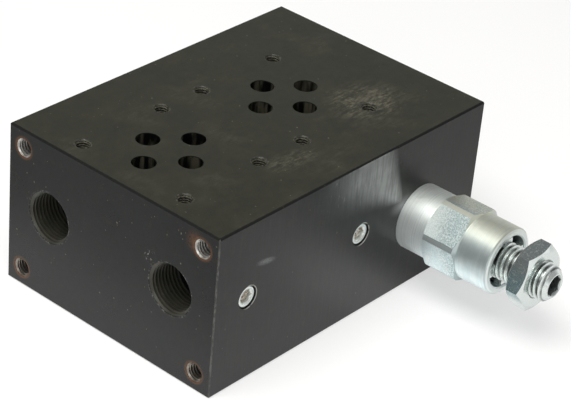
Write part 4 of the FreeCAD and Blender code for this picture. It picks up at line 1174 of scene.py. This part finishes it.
class VALVEPLATE_OT_stage(Step, bpy.types.Operator):
    """Set up the floor, the lamps, the background and the camera"""

    bl_idname = "valve_plate.stage"
    bl_label = "Stage"

    def execute(self, context):
        stage = context.scene.valve_plate_stage
        context.scene.view_settings.view_transform = "Standard"
        self.floor(stage)
        self.lamps(stage)
        self.background(context, stage)
        self.camera(context, stage)
        return {"FINISHED"}

    def floor(self, stage):
        """A large pale plane that keeps the object's shadow, brightest near the object."""
        choose()
        bpy.ops.mesh.primitive_plane_add(size=stage.floor_size,
                                         location=(0.0, 0.0, BLOCK_LOW.z - SLIVER))
        floor = new_piece()
        floor.name = "floor"
        f = CartridgeFinish("pale_floor")
        camera, mirrored = self.looked_at(f)
        half = in_mm((BLOCK_HIGH - BLOCK_LOW) / 2.0)
        block = f.distance(f.most(abs(f.x) - half[0], 0.0), f.most(abs(f.y) - half[1], 0.0))
        # Painted light and painted shade in the floor's glow, seen only in reflections:
        # brighter near the block and most left of the cartridge, painted shade right of it,
        # and less glow far to the left.
        lit = self.strip_beside(f, -17.0, 14.0, 8.0).under(16.0, 12.0)
        painted_shade = self.strip_beside(f, 8.0, 10.0, 10.0).under(8.0, 10.0)
        near = 0.30 + f.most(0.45 * block.under(30.0, 32.0), 0.72 * lit) - 0.35 * painted_shade
        near = near - 0.28 * f.x.under(-84.0, 14.0)
        shade = f.node("ShaderNodeBsdfDiffuse", None, {"Color": colour(stage.floor_tone)})
        glow = f.node("ShaderNodeEmission", None, {
            "Color": WHITE, "Strength": camera * 0.5 + mirrored * near})
        both = f.node("ShaderNodeAddShader", None, {0: shade, 1: glow})
        floor.data.materials.append(f.finished(both))

    def strip_beside(self, f, aside, middle, half):
        """Distance from a line beside the cartridge, given its middle and half its length."""
        return f.distance(f.across - aside, f.most(abs(f.out - middle) - half, 0.0))

    def looked_at(self, f):
        """Shares of what the camera sees, and of what metal or glass mirrors."""
        camera, glossy, through = f.several("ShaderNodeLightPath", (
            "Is Camera Ray", "Is Glossy Ray", "Is Transmission Ray"))
        return camera, f.most(glossy, through)

    def lamps(self, stage):
        """A wide lamp overhead, a brighter one on its left, and a weak one in front."""
        middle = Vector((0.02, -0.02, 0.03))
        warm, cool = (1.0, 0.985, 0.955), (0.96, 0.985, 1.0)
        self.lamp("soft_lamp", stage.soft_power, (-0.12, 0.02, 0.86), (0.9, 1.3), warm)
        self.lamp("key_lamp", stage.key_power, (-0.38, -0.10, 0.83), (0.5, 0.7), warm)
        front = self.lamp("fill_lamp", stage.fill_power, (-0.85, -0.5, 0.6), (0.45, 0.45),
                          cool)
        aim = (middle - front.location).to_track_quat("-Z", "Y")
        front.rotation_euler = aim.to_euler()

    def lamp(self, name, power, place, sides, tone):
        """A rectangular lamp that shines straight down until it is turned."""
        choose()
        bpy.ops.object.light_add(type="AREA", location=place)
        lamp = bpy.context.object
        lamp.name = name
        lamp.data.shape = "RECTANGLE"
        lamp.data.size, lamp.data.size_y = sides
        lamp.data.energy = power
        lamp.data.color = tone
        return lamp

    def background(self, context, stage):
        """White where it is seen, duller in metal overhead and at one side."""
        if context.scene.world is None:
            context.scene.world = bpy.data.worlds.new("room")
        f = Finish(context.scene.world)
        camera, mirrored = self.looked_at(f)
        way = f.node("ShaderNodeTexCoord", output="Generated")
        aside, back, height = f.several("ShaderNodeSeparateXYZ", "XYZ", {"Vector": way})
        gap = (0.49 * back - 0.87 * aside).over(0.84, 0.12)
        studio = (1.0 - 0.72 * height.over(0.26, 0.26)) * (1.0 - 0.6 * gap)
        strength = camera + (1.0 - camera) * (
            mirrored * studio + (1.0 - mirrored) * stage.room_light)
        sky = f.node("ShaderNodeBackground", None, {"Color": WHITE, "Strength": strength})
        f.node("ShaderNodeOutputWorld", None, {"Surface": sky})

    def camera(self, context, stage):
        """The camera that the photograph was taken from."""
        choose()
        bpy.ops.object.camera_add(location=stage.camera_place)
        camera = bpy.context.object
        camera.name = "camera"
        tilt = Euler((RIGHT_ANGLE - stage.camera_down, 0.0, -stage.camera_turn)).to_matrix()
        roll = Matrix.Rotation(stage.camera_roll, 3, "Z")
        camera.rotation_euler = (tilt @ roll).to_euler()
        camera.data.sensor_width = 36.0
        camera.data.lens = stage.lens
        camera.data.clip_start = 0.01
        camera.data.clip_end = 20.0
        context.scene.camera = camera


class VALVEPLATE_PT_sidebar(bpy.types.Panel):
    """Buttons and sizes in the 3D view's sidebar"""

    bl_idname = "VALVEPLATE_PT_sidebar"
    bl_label = "Valve plate"
    bl_space_type = "VIEW_3D"
    bl_region_type = "UI"
    bl_category = "Valve plate"

    def draw(self, context):
        for operator in STEPS:
            self.layout.operator(operator.bl_idname)
        for name in GROUPS:
            group = getattr(context.scene, name)
            box = self.layout.box()
            for field in group.bl_rna.properties:
                if field.identifier not in ("rna_type", "name"):
                    box.prop(group, field.identifier)


GROUPS = {
    "valve_plate_threads": ValvePlateThreads,
    "valve_plate_finishes": ValvePlateFinishes,
    "valve_plate_stage": ValvePlateStage,
}
STEPS = (
    VALVEPLATE_OT_block_finish,
    VALVEPLATE_OT_cartridge_finish,
    VALVEPLATE_OT_plug_finish,
    VALVEPLATE_OT_socket_grease,
    VALVEPLATE_OT_inner_finish,
    VALVEPLATE_OT_pressure_spring,
    VALVEPLATE_OT_port_threads,
    VALVEPLATE_OT_corner_threads,
    VALVEPLATE_OT_bolt_threads,
    VALVEPLATE_OT_screw_thread,
    VALVEPLATE_OT_stage,
)
CLASSES = (*GROUPS.values(), *STEPS, VALVEPLATE_PT_sidebar)


def register():
    for made in CLASSES:
        bpy.utils.register_class(made)
    for name, group in GROUPS.items():
        setattr(bpy.types.Scene, name, PointerProperty(type=group))


def unregister():
    for name in GROUPS:
        delattr(bpy.types.Scene, name)
    for made in reversed(CLASSES):
        bpy.utils.unregister_class(made)


def main():
    """Build everything."""
    register()
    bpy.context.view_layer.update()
    for step in STEPS:
        family, name = step.bl_idname.split(".")
        getattr(getattr(bpy.ops, family), name)()


if __name__ == "__main__":
    main()
